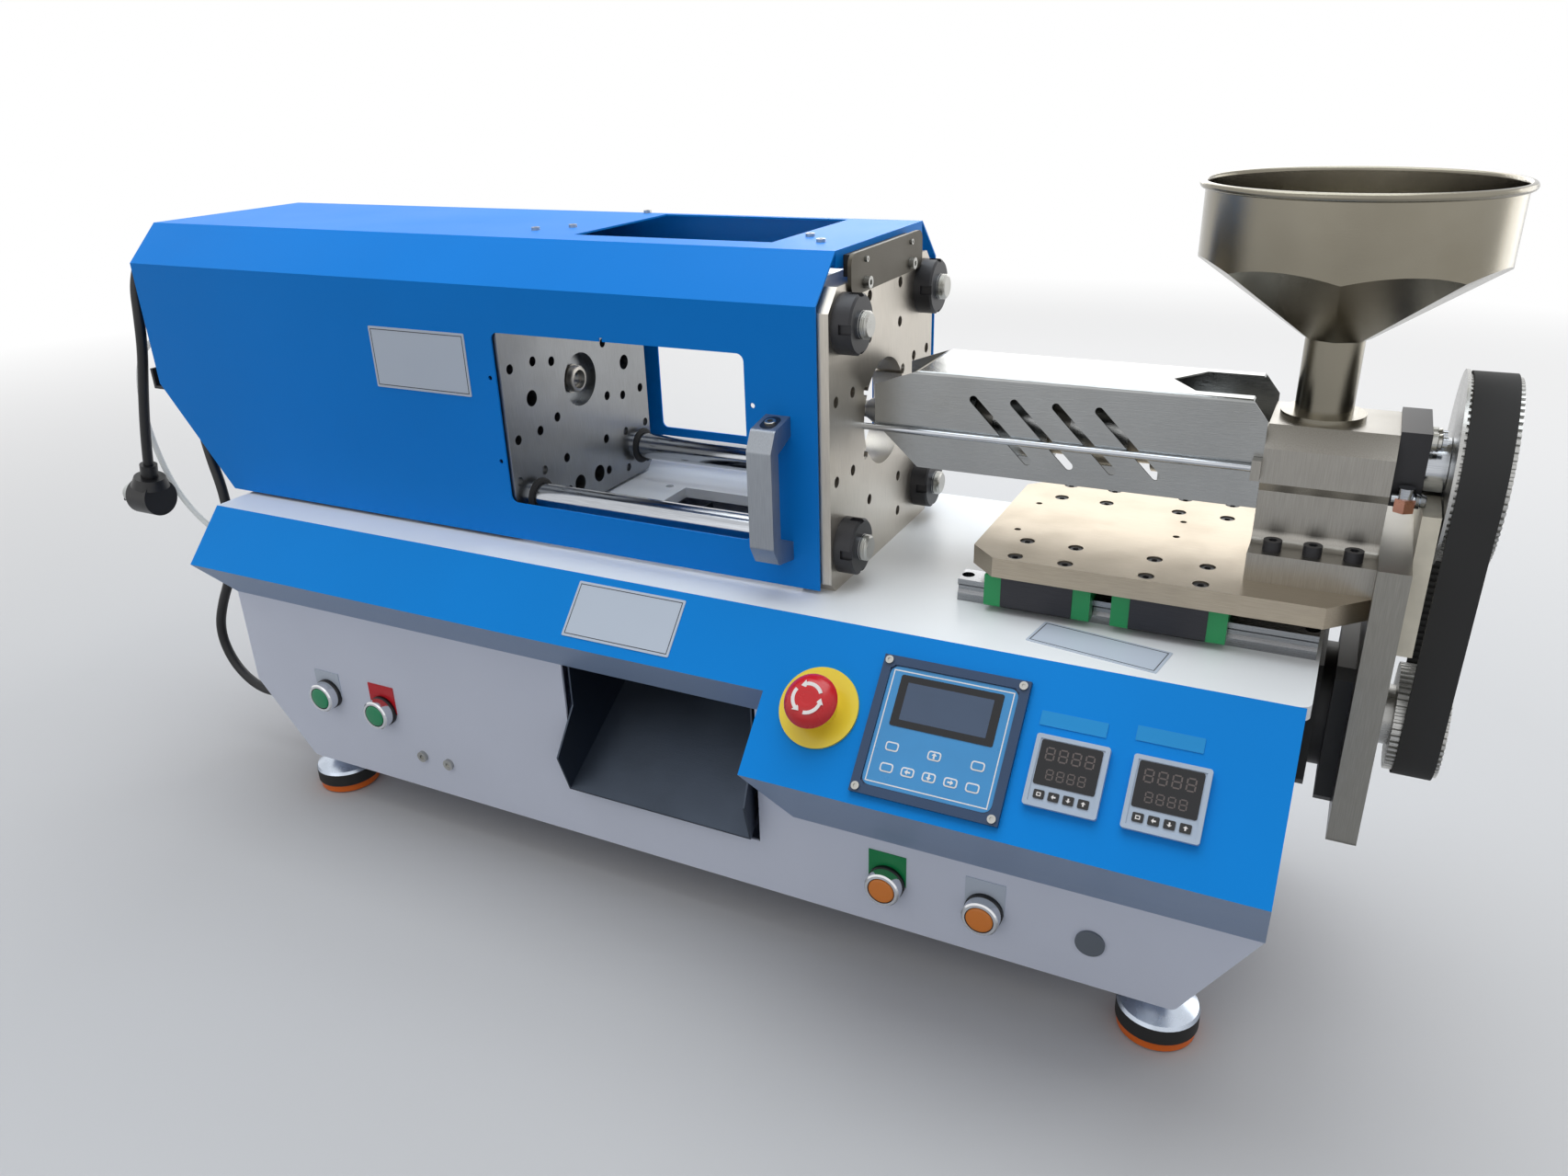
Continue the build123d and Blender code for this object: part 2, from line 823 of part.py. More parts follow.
def make_piston_rod():
    """The piston rod and piston, drawn back at rest."""
    piston_left = cylinder_left + cylinder_head_thickness + cylinder_end_play
    rod = rod_x(
        cylinder_bore_radius - piston_clearance, piston_left, piston_left + piston_thickness,
        axis_y, axis_z,
    )
    return rod + rod_x(
        piston_rod_radius, piston_left + piston_thickness, bridge_left_x, axis_y, axis_z
    )


def make_clamp_cylinder():
    """The air cylinder: tube, two heads and four long studs with nuts."""
    inner_left = cylinder_left + cylinder_head_thickness
    inner_right = cylinder_right - cylinder_head_thickness
    outer_radius = cylinder_bore_radius + cylinder_wall
    tube = rod_x(outer_radius, inner_left, inner_right, axis_y, axis_z)
    tube -= rod_x(cylinder_bore_radius, inner_left - 1, inner_right + 1, axis_y, axis_z)
    half = cylinder_head_half
    heads = []
    for x0, x1 in ((cylinder_left, inner_left), (inner_right, cylinder_right)):
        head = block(x0, x1, axis_y - half, axis_y + half, axis_z - half, axis_z + half)
        head = chamfer(head.edges().filter_by(Axis.X), 6)
        heads.append(head)
    heads[1] -= rod_x(
        piston_rod_radius + shaft_clearance, inner_right - 1, cylinder_right + 1, axis_y, axis_z
    )
    studs = []
    reach = half - 9.0
    for side in (-1, 1):
        for level in (-1, 1):
            y, z = axis_y + side * reach, axis_z + level * reach
            studs.append(rod_x(cylinder_stud_radius, inner_left, inner_right, y, z))
            studs.append(socket_screw_x(cylinder_left, y, z, 6.5, 5.0, -1))
    return Compound(children=[tube] + heads + studs)


def make_ejector():
    """The ejector cylinder behind the moving platen and the rod that runs in it."""
    left = moving_back_x - ejector_body_length
    body = rod_x(ejector_body_radius, left, moving_back_x, axis_y, axis_z)
    end = moving_face_x - ejector_bore_depth - 3.0
    body -= rod_x(
        ejector_rod_radius + shaft_clearance, left + 6.0, moving_back_x + 1, axis_y, axis_z
    )
    rod = rod_x(ejector_rod_radius, left + 8.0, end, axis_y, axis_z)
    rod += rod_x(ejector_head_radius, end - 2.0, end - 2.0 + ejector_head_thickness, axis_y, axis_z)
    return body, rod


# Hood

def hood_section(bottom):
    """The hood's outer section in y and z, down to a chosen height."""
    return profile(
        [
            (hood_front, bottom),
            (hood_front, hood_eave),
            (hood_front + hood_chamfer, hood_roof),
            (hood_back - hood_chamfer, hood_roof),
            (hood_back, hood_eave),
            (hood_back, bottom),
        ]
    )


def hood_side(bottom, right):
    """The hood's side outline in x and z, with the tail cut back below."""
    run = hood_tail_run / (hood_tail_low - hood_bottom) * (hood_tail_low - bottom)
    return profile(
        [
            (hood_left, hood_roof + 1),
            (hood_left, hood_tail_low),
            (hood_left + run, bottom),
            (right, bottom),
            (right, hood_roof + 1),
        ]
    )


def window_cut(y0, y1):
    """A window in a long wall: a rounded rectangle with a notch in its top edge."""
    width = window_right - window_left
    height = window_top - window_bottom
    middle = ((window_left + window_right) / 2, (window_bottom + window_top) / 2)
    cut = along_y(Location((*middle, 0)) * RectangleRounded(width, height, window_corner), y0, y1)
    return cut + block(-193.5, -190.5, y0, y1, window_top - 1, window_top + 3)


def make_hood():
    """The folded hood over the clamp, one shell with its windows and roof opening."""
    spare = 30.0
    outer = along_x(hood_section(hood_bottom), hood_left, hood_right)
    outer &= along_y(hood_side(hood_bottom, hood_right), hood_front - 1, hood_back + 1)
    inner_section = offset(
        hood_section(hood_bottom - spare), amount=-hood_wall, kind=Kind.INTERSECTION
    )
    inner_side = offset(
        hood_side(hood_bottom - spare, hood_right + spare), amount=-hood_wall, kind=Kind.INTERSECTION
    )
    inner = along_x(inner_section, hood_left - 1, hood_right + spare)
    inner &= along_y(inner_side, hood_front, hood_back)
    hood = outer - inner
    hood += block(
        hood_right - hood_wall, hood_right, hood_front + hood_chamfer + 1,
        hood_back - hood_chamfer - 1, hood_roof - hood_lip, hood_roof - hood_wall / 2,
    )
    for y in (hood_front, hood_back):
        hood -= window_cut(y - hood_wall - 2, y + hood_wall + 2)
    x0, x1, y0, y1 = roof_opening
    hood -= block(x0, x1, y0, y1, hood_roof - hood_wall - 2, hood_roof + 2)
    for x in (window_left - 6, window_right + 6):
        for z in (window_bottom + 36, window_top - 38):
            hood -= rod_y(pane_hole_radius, hood_front - 1, hood_front + hood_wall + 1, x, z)
    hood -= rod_x(hose_radius + 1.0, hood_left - 1, hood_left + hood_wall + 1, hose_top_y, hose_top_z)
    return hood


def make_hood_brackets():
    """The grey plate that joins hood and fixed platen, and two standoffs at the rear."""
    plate = block(0, bracket_thickness, bracket_left, bracket_right, bracket_low, hood_roof - 2.5)
    corners = plate.edges().filter_by(Axis.X)
    plate = fillet(corners, 8.0)
    plate += block(
        hood_right, 0, bracket_left + 12, bracket_right - 12, platen_height + 2,
        hood_roof - hood_wall - 3.0,
    )
    pieces = [plate]
    x = (rear_platen_left + rear_platen_face_x) / 2
    for y in (axis_y - 50, axis_y + 50):
        pieces.append(rod_z(standoff_radius, platen_height, hood_roof - hood_wall, x, y))
    return Compound(children=pieces)


def make_handle():
    """The bridge-shaped grab handle on the hood's front."""
    front = hood_front - handle_stand
    inner = front + handle_bar
    slope = 8.0
    outline = profile(
        [
            (hood_front, handle_low),
            (front + slope, handle_low + slope * 0.6),
            (front, handle_low + slope * 2.4),
            (front, handle_high - slope * 2.4),
            (front + slope, handle_high - slope * 0.6),
            (hood_front, handle_high),
            (hood_front, handle_high - handle_foot),
            (inner, handle_high - handle_foot - slope),
            (inner, handle_low + handle_foot + slope),
            (hood_front, handle_low + handle_foot),
        ]
    )
    handle = along_x(outline, handle_x - handle_width / 2, handle_x + handle_width / 2)
    return fillet(handle.edges().filter_by(Axis.X).sort_by(Axis.Y)[:4], 4.0)


# Injection carriage

def make_rails():
    """Two profiled linear rails with their counterbored holes."""
    rails = []
    half = rail_width / 2
    for y in rail_lines:
        outline = profile(
            [
                (y - half, 0),
                (y + half, 0),
                (y + half, 6.0),
                (y + half - 2.0, 8.5),
                (y + half - 2.0, 11.5),
                (y + half, 13.5),
                (y + half, rail_height),
                (y - half, rail_height),
                (y - half, 13.5),
                (y - half + 2.0, 11.5),
                (y - half + 2.0, 8.5),
                (y - half, 6.0),
            ]
        )
        rail = along_x(outline, rail_left, rail_left + rail_length)
        first = rail_left + (rail_length - 4 * rail_hole_pitch) / 2
        for index in range(5):
            x = first + index * rail_hole_pitch
            if rail_left + 4.8 < x < rail_left + rail_length - 4.8:
                rail -= rod_z(4.75, rail_height - 8.5, rail_height + 1, x, y)
        rails.append(rail)
    return Compound(children=rails)


def block_profile(y):
    """A carriage block's section in y and z: a channel that straddles its rail."""
    half = block_width / 2
    slot = rail_width / 2 + block_clearance
    roof = rail_height + block_clearance
    return profile(
        [
            (y - half, block_bottom + 2),
            (y - half + 2, block_bottom),
            (y - slot, block_bottom),
            (y - slot, roof),
            (y + slot, roof),
            (y + slot, block_bottom),
            (y + half - 2, block_bottom),
            (y + half, block_bottom + 2),
            (y + half, block_top),
            (y - half, block_top),
        ]
    )


def make_blocks():
    """Four carriage blocks in steel, and the plastic cap at each of their ends."""
    steels, caps = [], []
    half = block_steel_length / 2
    shrink = 0.6
    for centre in block_centres:
        for y in rail_lines:
            body = along_x(block_profile(y), centre - half, centre + half)
            for dx in (-block_bolt_x / 2, block_bolt_x / 2):
                for dy in (-block_bolt_y / 2, block_bolt_y / 2):
                    body -= rod_z(2.1, block_top - 8, block_top + 1, centre + dx, y + dy)
            steels.append(body)
            for side in (-1, 1):
                x0 = centre + side * half
                x1 = x0 + side * block_cap_length
                cap = along_x(block_profile(y), min(x0, x1), max(x0, x1))
                cap &= block(
                    min(x0, x1), max(x0, x1), y - block_width / 2 + shrink,
                    y + block_width / 2 - shrink, block_bottom, block_top - shrink,
                )
                face = x1 - side * 1.0
                cap -= rod_x(1.8, min(face, x1 + side), max(face, x1 + side), y - 15.5, block_top - 6)
                cap -= rod_x(1.8, min(face, x1 + side), max(face, x1 + side), y + 15.5, block_top - 6)
                caps.append(cap)
    return Compound(children=steels), Compound(children=caps)


plate_screw_places = [
    (centre + dx, y + dy)
    for centre in block_centres
    for y in rail_lines
    for dx in (-block_bolt_x / 2, block_bolt_x / 2)
    for dy in (-block_bolt_y / 2, block_bolt_y / 2)
]
feed_screw_places = [
    ((feed_left + feed_right) / 2 + step * feed_screw_pitch, axis_y + side * (feed_flange_half - 11.5))
    for step in (-1, 0, 1)
    for side in (-1, 1)
]


def make_carriage_plate():
    """The carriage plate, its chamfered corners and counterbored holes."""
    low, high = axis_y - carriage_half_width, axis_y + carriage_half_width
    outline = profile(
        [
            (carriage_left + 20, low),
            (carriage_right - 25, low),
            (carriage_right, low + 25),
            (carriage_right, high - 25),
            (carriage_right - 25, high),
            (carriage_left + 20, high),
            (carriage_left, high - 20),
            (carriage_left, low + 20),
        ]
    )
    plate = along_z(outline, carriage_bottom, carriage_top)
    cutters = []
    for x, y in plate_screw_places:
        cutters.append(rod_z(plate_screw_head_radius + 0.5, carriage_top - 6.5, carriage_top + 1, x, y))
        cutters.append(rod_z(plate_screw_radius, carriage_bottom - 1, carriage_top - 6, x, y))
    for x, y in ((122, axis_y - 31), (122, axis_y + 31), (234, axis_y - 2), (234, axis_y + 31)):
        cutters.append(rod_z(2.5, carriage_bottom - 1, carriage_top + 1, x, y))
    return plate - Compound(children=cutters)


def make_carriage_screws():
    """The screws that hold the plate to its blocks, and the feed block to the plate."""
    screws = []
    for x, y in plate_screw_places:
        seat = Plane(origin=(x, y, carriage_top - 6.5))
        screw = socket_screw(seat, plate_screw_head_radius, 5.5)
        screws.append(screw + rod_z(2.0, block_top - 7, carriage_top - 6.5, x, y))
    for x, y in feed_screw_places:
        screws.append(socket_screw(Plane(origin=(x, y, feed_flange_top)), feed_screw_head, 7.0))
    return Compound(children=screws)


def make_feed_block():
    """The feed block: flange, stepped body, throat, barrel seat and stop lug."""
    half, wide = feed_body_half, feed_flange_half
    step = feed_step
    band = feed_step_band / 2

    def side(sign):
        return [
            (axis_y + sign * wide, carriage_top),
            (axis_y + sign * wide, feed_flange_top),
            (axis_y + sign * (half - step), feed_flange_top),
            (axis_y + sign * (half - step), feed_step_z - band),
            (axis_y + sign * half, feed_step_z + band),
            (axis_y + sign * half, feed_top - feed_chamfer),
            (axis_y + sign * (half - feed_chamfer * 0.85), feed_top),
        ]

    body = along_x(profile(side(-1) + side(1)[::-1]), feed_left, feed_right)
    ledge_edges = [
        edge
        for edge in body.edges().filter_by(Axis.X)
        if abs(edge.center().Z - feed_flange_top) < 0.1 and abs(edge.center().Y - axis_y) < half
    ]
    body = fillet(ledge_edges, feed_fillet)
    lug = block(
        feed_left - stop_lug_length, feed_left, stop_rod_y - 5.6, stop_rod_y + 8.0,
        axis_z - 8.0, axis_z + 6.0,
    )
    lug &= block(feed_left - stop_lug_length, feed_left, 0, axis_y - guard_half - 0.3, 0, 200)
    body += lug
    body -= rod_x(barrel_radius, feed_left - 1, feed_right + 1, axis_y, axis_z)
    body -= rod_z(feed_throat_radius, axis_z, feed_top + 1, hopper_x, axis_y)
    return body


def make_barrel():
    """The plasticising barrel, open to the feed throat."""
    barrel = rod_x(barrel_radius, barrel_tip_x, feed_right, axis_y, axis_z)
    barrel -= rod_x(barrel_bore_radius, barrel_tip_x - 1, feed_right + 1, axis_y, axis_z)
    return barrel - rod_z(feed_throat_radius, axis_z, axis_z + barrel_radius + 1, hopper_x, axis_y)


def make_nozzle():
    """The nozzle on the barrel's end, turned down to a round tip."""
    outline = [
        (barrel_tip_x, 1.5),
        (barrel_tip_x, nozzle_radius),
        (nozzle_tip_x + 22, nozzle_radius),
        (nozzle_tip_x + 10, 7.0),
        (nozzle_tip_x, 5.0),
        (nozzle_tip_x, 1.5),
    ]
    face = Plane(origin=(0, axis_y, axis_z), x_dir=(1, 0, 0), z_dir=(0, -1, 0)) * profile(outline)
    return revolve(face, Axis((0, axis_y, axis_z), (1, 0, 0)))


def make_heater_bands():
    """The band heaters round the barrel and the smaller one on the nozzle."""
    bands = []
    start = barrel_tip_x + heater_gap
    while start + heater_length < feed_left - heater_gap:
        band = rod_x(heater_radius, start, start + heater_length, axis_y, axis_z)
        band -= rod_x(barrel_radius, start - 1, start + heater_length + 1, axis_y, axis_z)
        clamp = block(start + 4, start + heater_length - 4, axis_y - 4, axis_y + 4,
                      axis_z - heater_radius - 9, axis_z - heater_radius + 3)
        clamp -= rod_x(heater_radius - 0.5, start, start + heater_length, axis_y, axis_z)
        bands.append(band + clamp)
        start += heater_length + heater_gap
    return Compound(children=bands)


def make_guard():
    """The folded stainless guard over the barrel, with its mitres, slots and top cut."""
    wall = guard_wall
    y0, y1 = axis_y - guard_half, axis_y + guard_half
    outer = block(guard_left, feed_left, y0, y1, guard_bottom, guard_top)
    outer = fillet(outer.edges().filter_by(Axis.X).sort_by(Axis.Z)[-2:], 2.5)
    guard = outer - block(
        guard_left - 1, feed_left + 1, y0 + wall, y1 - wall, guard_bottom - 1, guard_top - wall
    )
    side = profile(
        [
            (guard_left, guard_bottom + guard_mitre_low),
            (guard_left + guard_mitre_x, guard_bottom),
            (feed_left, guard_bottom),
            (feed_left, guard_top - guard_end_mitre),
            (feed_left - guard_end_mitre * 0.8, guard_top),
            (guard_left + guard_mitre_x, guard_top),
            (guard_left, guard_top - guard_mitre_top),
        ]
    )
    guard &= along_y(side, y0, y1)
    cut = profile(
        [
            (feed_left + 1, axis_y - guard_cut_half),
            (guard_cut_side_x, axis_y - guard_cut_half),
            (guard_cut_tip_x, axis_y),
            (guard_cut_side_x, axis_y + guard_cut_half),
            (feed_left + 1, axis_y + guard_cut_half),
        ]
    )
    guard -= along_z(cut, guard_top - 3, guard_top + 1)
    slot = SlotOverall(guard_slot_length, guard_slot_width)
    for index in range(4):
        place = Location((guard_slot_first_x + index * guard_slot_pitch, guard_slot_z, 0), (0, 0, -45))
        guard -= along_y(place * slot, y0 - 1, y1 + 1)
    return guard


def make_stop_rod():
    """The thin rod from the fixed platen that the feed block's lug stops against."""
    end = feed_left - stop_lug_length - stop_gap
    return rod_x(stop_rod_radius, -stop_rod_depth, end, stop_rod_y, axis_z - 1.0)


def funnel_solid(inset, radius, low, high):
    """The hopper's eight-sided funnel inside a drum of one radius, drawn in by an inset."""
    slim = math.cos(math.pi / facet_count)
    foot = hopper_neck_radius + hopper_wall
    rise = (hopper_bowl_radius + hopper_facet_over - foot) / (hopper_bowl_z - hopper_neck_z)
    sections = []
    for z in (low, high):
        flat = foot + (z - hopper_neck_z) * rise - inset
        sections.append(
            Plane(origin=(hopper_x, axis_y, z)) * RegularPolygon(flat / slim, facet_count)
        )
    return loft(sections) & rod_z(radius, low, high, hopper_x, axis_y)


def make_hopper():
    """The hopper's welded pieces: bowl with its rolled rim, faceted funnel, flanged neck."""
    wall = hopper_wall
    radius = hopper_bowl_radius

    def tube(outer, low, high):
        bore = rod_z(outer - wall, low - 1, high + 1, hopper_x, axis_y)
        return rod_z(outer, low, high, hopper_x, axis_y) - bore

    up = Plane(origin=(hopper_x, axis_y, 0), x_dir=(1, 0, 0), z_dir=(0, -1, 0))
    spin = Axis((hopper_x, axis_y, 0), (0, 0, 1))
    bead_plane = up * Location((radius + hopper_bead_radius - wall, hopper_rim_z, 0))
    bowl = tube(radius, hopper_bowl_z, hopper_rim_z)
    bowl += revolve(bead_plane * Circle(hopper_bead_radius), spin)
    funnel = funnel_solid(0, radius, hopper_neck_z, hopper_bowl_z)
    funnel -= funnel_solid(
        hopper_facet_inset, radius - wall, hopper_neck_z - 0.5, hopper_bowl_z + 0.5
    )
    neck_top = hopper_neck_z - hopper_collar_height
    funnel += tube(hopper_neck_radius, neck_top, hopper_neck_z + 0.6)
    neck = tube(hopper_neck_radius, feed_top, neck_top)
    flange = rod_z(hopper_flange_radius, feed_top, feed_top + hopper_flange_thickness, hopper_x, axis_y)
    neck += flange - rod_z(hopper_neck_radius - 0.3, 0, 300, hopper_x, axis_y)
    return Compound(children=[bowl, funnel]), neck


def make_motor_plate():
    """The drive plate across the carriage's end."""
    plate = block(
        carriage_right, carriage_right + motor_plate_thickness, axis_y - motor_plate_half,
        axis_y + motor_plate_half, motor_plate_low, motor_plate_high,
    )
    plate = fillet(plate.edges().filter_by(Axis.X).sort_by(Axis.Z)[:2], 4.0)
    plate -= rod_x(
        motor_spigot_radius, carriage_right - 1, carriage_right + motor_plate_thickness + 1,
        axis_y, motor_axis_z,
    )
    return plate


def make_motor():
    """The servo motor behind the plate, with its flange and spigot."""
    right = carriage_right
    half = motor_half
    left = right - motor_length
    body = block(left, right - motor_flange - 8, axis_y - half + 5, axis_y + half - 5,
                 motor_axis_z - half + 5, motor_axis_z + half - 5)
    body = chamfer(body.edges().filter_by(Axis.X), 9.0)
    neck = rod_x(half - 8, right - motor_flange - 9, right - motor_flange, axis_y, motor_axis_z)
    flange = block(right - motor_flange, right, axis_y - half, axis_y + half,
                   motor_axis_z - half, motor_axis_z + half)
    flange = chamfer(flange.edges().filter_by(Axis.X), 7.0)
    motor = body + neck + flange
    motor += rod_x(motor_spigot_radius, right, right + 8, axis_y, motor_axis_z)
    motor -= rod_x(motor_shaft_radius + shaft_clearance, right - 40, right + 9, axis_y, motor_axis_z)
    return motor


def make_spacer():
    """The pale plate between the drive plate and the pulleys."""
    x0 = carriage_right + motor_plate_thickness
    plate = block(x0, x0 + spacer_thickness, axis_y - spacer_half, axis_y + spacer_half,
                  spacer_low, spacer_high)
    return plate - rod_x(collar_radius + 1.5, x0 - 1, x0 + spacer_thickness + 1, axis_y, axis_z)


def make_housing():
    """The bearing housing on the feed block's end."""
    x0 = feed_right
    housing = block(x0, x0 + housing_thickness, axis_y - housing_half, axis_y + housing_half,
                    housing_low, housing_high)
    return housing - rod_x(
        drive_shaft_radius + shaft_clearance, x0 - 1, x0 + housing_thickness + 1, axis_y, axis_z
    )


def make_cooling_fittings():
    """Brass water fittings on the bearing housing."""
    front = axis_y - housing_half
    x = feed_right + 9.0
    tee = rod_y(3.5, front - 4.0, front, x, 106.0)
    tee += rod_z(5.0, 99.0, 114.0, x, front - 7.5)
    tee += rod_x(3.0, x - 8.0, x + 12.0, front - 7.5, 106.0)
    pieces = [tee]
    for y in (front + 6.0, front + 20.0):
        elbow = rod_x(4.0, feed_right + housing_thickness, feed_right + housing_thickness + 9.0, y, 142.0)
        pieces.append(elbow)
    return Compound(children=pieces)


def make_screw():
    """The plasticising screw, its drive shaft and the collar beside the housing."""
    tip = barrel_tip_x + 6.0
    root = screw_radius - 2.2
    cone = Plane(origin=(0, axis_y, axis_z), x_dir=(1, 0, 0), z_dir=(0, -1, 0)) * profile(
        [(tip, 0), (tip + 12.0, root), (tip + 12.0, 0)]
    )
    screw = revolve(cone, Axis((0, axis_y, axis_z), (1, 0, 0)))
    shank = feed_right - 36.0
    screw += rod_x(root, tip + 11.9, shank, axis_y, axis_z)
    x = tip + 22.0
    while x < shank - 10.0:
        screw += rod_x(screw_radius, x, x + 2.4, axis_y, axis_z)
        x += screw_flight_pitch
    screw += rod_x(screw_radius, shank, feed_right + 0.4, axis_y, axis_z)
    shaft_start = feed_right + 0.4
    screw += rod_x(drive_shaft_radius, shaft_start, pulley_left + pulley_width, axis_y, axis_z)
    collar = feed_right + housing_thickness + 0.6
    return screw + rod_x(collar_radius, collar, pulley_left - 0.5, axis_y, axis_z)


def toothed_wheel(teeth, tip_radius, x0, x1, y, z):
    """A toothed belt wheel: its rim cut with one groove for each tooth of the belt."""
    half_pitch = math.pi / teeth
    root = tip_radius - pulley_tooth_depth
    points = []
    for index in range(teeth):
        middle = 2 * math.pi * index / teeth
        for radius, share in ((tip_radius, -0.52), (root, -0.30), (root, 0.30), (tip_radius, 0.52)):
            turn = middle + share * 1.1 * half_pitch
            points.append((y + radius * math.cos(turn), z + radius * math.sin(turn)))
    return along_x(profile(points), x0, x1)


def make_large_pulley():
    """The large toothed pulley on the screw's shaft."""
    right = pulley_left + pulley_width
    wheel = toothed_wheel(
        large_pulley_teeth, large_tip_radius, pulley_left + 1, right, axis_y, axis_z
    )
    wheel += rod_x(
        large_tip_radius + pulley_flange_over, pulley_left,
        pulley_left + pulley_flange_thickness, axis_y, axis_z,
    )
    wheel -= rod_x(drive_shaft_radius, pulley_left - 1, right + 1, axis_y, axis_z)
    dish = rod_x(large_tip_radius - 9, right - 9, right + 1, axis_y, axis_z)
    dish -= rod_x(collar_radius + 3, right - 10, right + 2, axis_y, axis_z)
    return wheel - dish


def make_small_pulley():
    """The small toothed pulley and the motor shaft that it is keyed to."""
    right = pulley_left + pulley_width
    hub_left = carriage_right + motor_plate_thickness + 2.0
    wheel = toothed_wheel(
        small_pulley_teeth, small_tip_radius, pulley_left - 2, right, axis_y, motor_axis_z
    )
    wheel += rod_x(22.0, hub_left, pulley_left - 2, axis_y, motor_axis_z)
    return wheel + rod_x(motor_shaft_radius, carriage_right - 30, hub_left, axis_y, motor_axis_z)


def make_belt():
    """The toothed belt round both pulleys, with its teeth on the free runs."""
    big = large_tip_radius + belt_clearance
    small = small_tip_radius + belt_clearance
    centres = ((axis_y, axis_z), (axis_y, motor_axis_z))

    def loop(extra):
        circles = [
            Location((*centre, 0)) * Circle(radius + extra)
            for centre, radius in zip(centres, (big, small))
        ]
        return make_hull(circles[0].edges() + circles[1].edges())

    right = belt_left + belt_width
    belt = along_x(loop(belt_thickness), belt_left, right) - along_x(loop(0), belt_left - 1, right + 1)
    drop = axis_z - motor_axis_z
    lean = math.asin((big - small) / drop)
    run = drop * math.cos(lean)
    count = int((run - 40.0) / pulley_pitch)
    teeth = []
    for side in (-1, 1):
        along = (-side * math.sin(lean), -math.cos(lean))
        out = (side * math.cos(lean), -math.sin(lean))
        start = (axis_y + big * out[0], axis_z + big * out[1])
        for index in range(count):
            reach = 20.0 + index * pulley_pitch
            y = start[0] + along[0] * reach - out[0] * 0.9
            z = start[1] + along[1] * reach - out[1] * 0.9
            angle = math.degrees(math.atan2(along[1], along[0]))
            tooth = Location((y, z, 0), (0, 0, angle)) * Rectangle(2.6, 2.2)
            teeth.append(along_x(tooth, belt_left, right))
    return belt + teeth


# Controls

def make_estop():
    """The emergency stop: disc and collar on the slope, stem, and mushroom knob."""
    base = slope_plane(*estop_place)
    disc = extrude(base * Circle(estop_disc_radius), amount=estop_disc_thickness)
    disc += extrude(base * Circle(estop_collar_radius), amount=estop_collar_height)
    disc += extrude(base * Circle(estop_stem_radius + 2.7), amount=-24)
    inner = base.offset(estop_collar_height + 1)
    disc -= extrude(inner * Circle(estop_stem_radius + shaft_clearance), amount=-31)
    knob_seat = base.offset(estop_collar_height + estop_gap)
    stem = extrude(
        base.offset(-12) * Circle(estop_stem_radius), amount=12 + estop_collar_height + estop_gap
    )
    stem += extrude(knob_seat * Circle(4.0), amount=6.0)
    turn = slope_plane(*estop_place, estop_collar_height + estop_gap)
    half = estop_knob_radius
    section = make_face(
        Polyline((0, 0), (half - 6, 0), (half - 3.5, 3.0), (half, 6.0))
        + ThreePointArc((half, 6.0), (half * 0.75, estop_knob_height - 2.4), (4.0, estop_knob_height))
        + Polyline((4.0, estop_knob_height), (0, estop_knob_height), (0, 0))
    )
    upright = Plane(origin=turn.origin, x_dir=turn.x_dir, z_dir=-turn.y_dir)
    knob = revolve(upright * section, Axis(turn.origin, turn.z_dir))
    knob -= extrude(turn.offset(-1) * Circle(4.0 + shaft_clearance), amount=7.5)
    return disc, stem, knob


def make_display():
    """The display unit: a raised frame with its face set down inside."""
    left, right, high, low = display_box
    middle = slope_plane((left + right) / 2, (high + low) / 2)
    width, height = right - left, low - high
    unit = extrude(middle * Rectangle(width, height), amount=display_height)
    recess = middle.offset(display_height)
    face = Rectangle(width - 2 * display_frame, height - 2 * display_frame)
    for side in (-1, 1):
        for level in (-1, 1):
            corner = Location((side * (width / 2 - 4.5), level * (height / 2 - 4.0)))
            face -= corner * Circle(5.5)
    unit -= extrude(recess * face, amount=-display_face_drop)
    unit += extrude(middle * Rectangle(width - 20, height - 20), amount=-16)
    return unit


def make_controllers():
    """Two temperature controllers: framed faces and the bodies behind the slope."""
    units = []
    for x, down in controller_places:
        middle = slope_plane(x + controller_size / 2, down + controller_size / 2)
        unit = extrude(middle * RectangleRounded(controller_size, controller_size, 2), amount=controller_height)
        face = middle.offset(controller_height)
        unit -= extrude(face * Rectangle(controller_size - 6, controller_size - 6), amount=-0.8)
        unit += extrude(middle * Rectangle(controller_body - 0.4, controller_body - 0.4), amount=-controller_depth)
        units.append(unit)
    return Compound(children=units)


def make_buttons():
    """The pushbuttons' bezels and their sprung caps."""
    bezels, caps = [], []
    height = button_gasket_height + button_bezel_height
    bore = button_cap_radius + button_running_gap
    for x, z in button_places:
        bezel = rod_y(button_bezel_radius - 0.6, -button_gasket_height, 0, x, z)
        ring = rod_y(button_bezel_radius, -height, -button_gasket_height, x, z)
        rim = ring.edges().filter_by(GeomType.CIRCLE).group_by(Axis.Y)[0]
        bezel += chamfer(rim, 1.2)
        bezel += rod_y(button_barrel_radius, 0, button_barrel_depth, x, z)
        bezel -= rod_y(bore, -height - 1, 0, x, z)
        bezel -= rod_y(5.0 + shaft_clearance, -1, button_barrel_depth - 8, x, z)
        bezels.append(bezel)
        cap = rod_y(button_cap_radius, -height + 0.8, -height + 5.0, x, z)
        cap += rod_y(5.0, -height + 5.0, button_barrel_depth - 8 - button_travel - 1, x, z)
        caps.append(cap)
    return Compound(children=bezels), caps


def make_blanking_plug():
    """The grey plug in an unused hole of the front panel."""
    x, z = plug_place
    plug = rod_y(plug_radius, -2.0, 0, x, z)
    return plug + rod_y(plug_radius - 1.5, 0, 8.0, x, z)


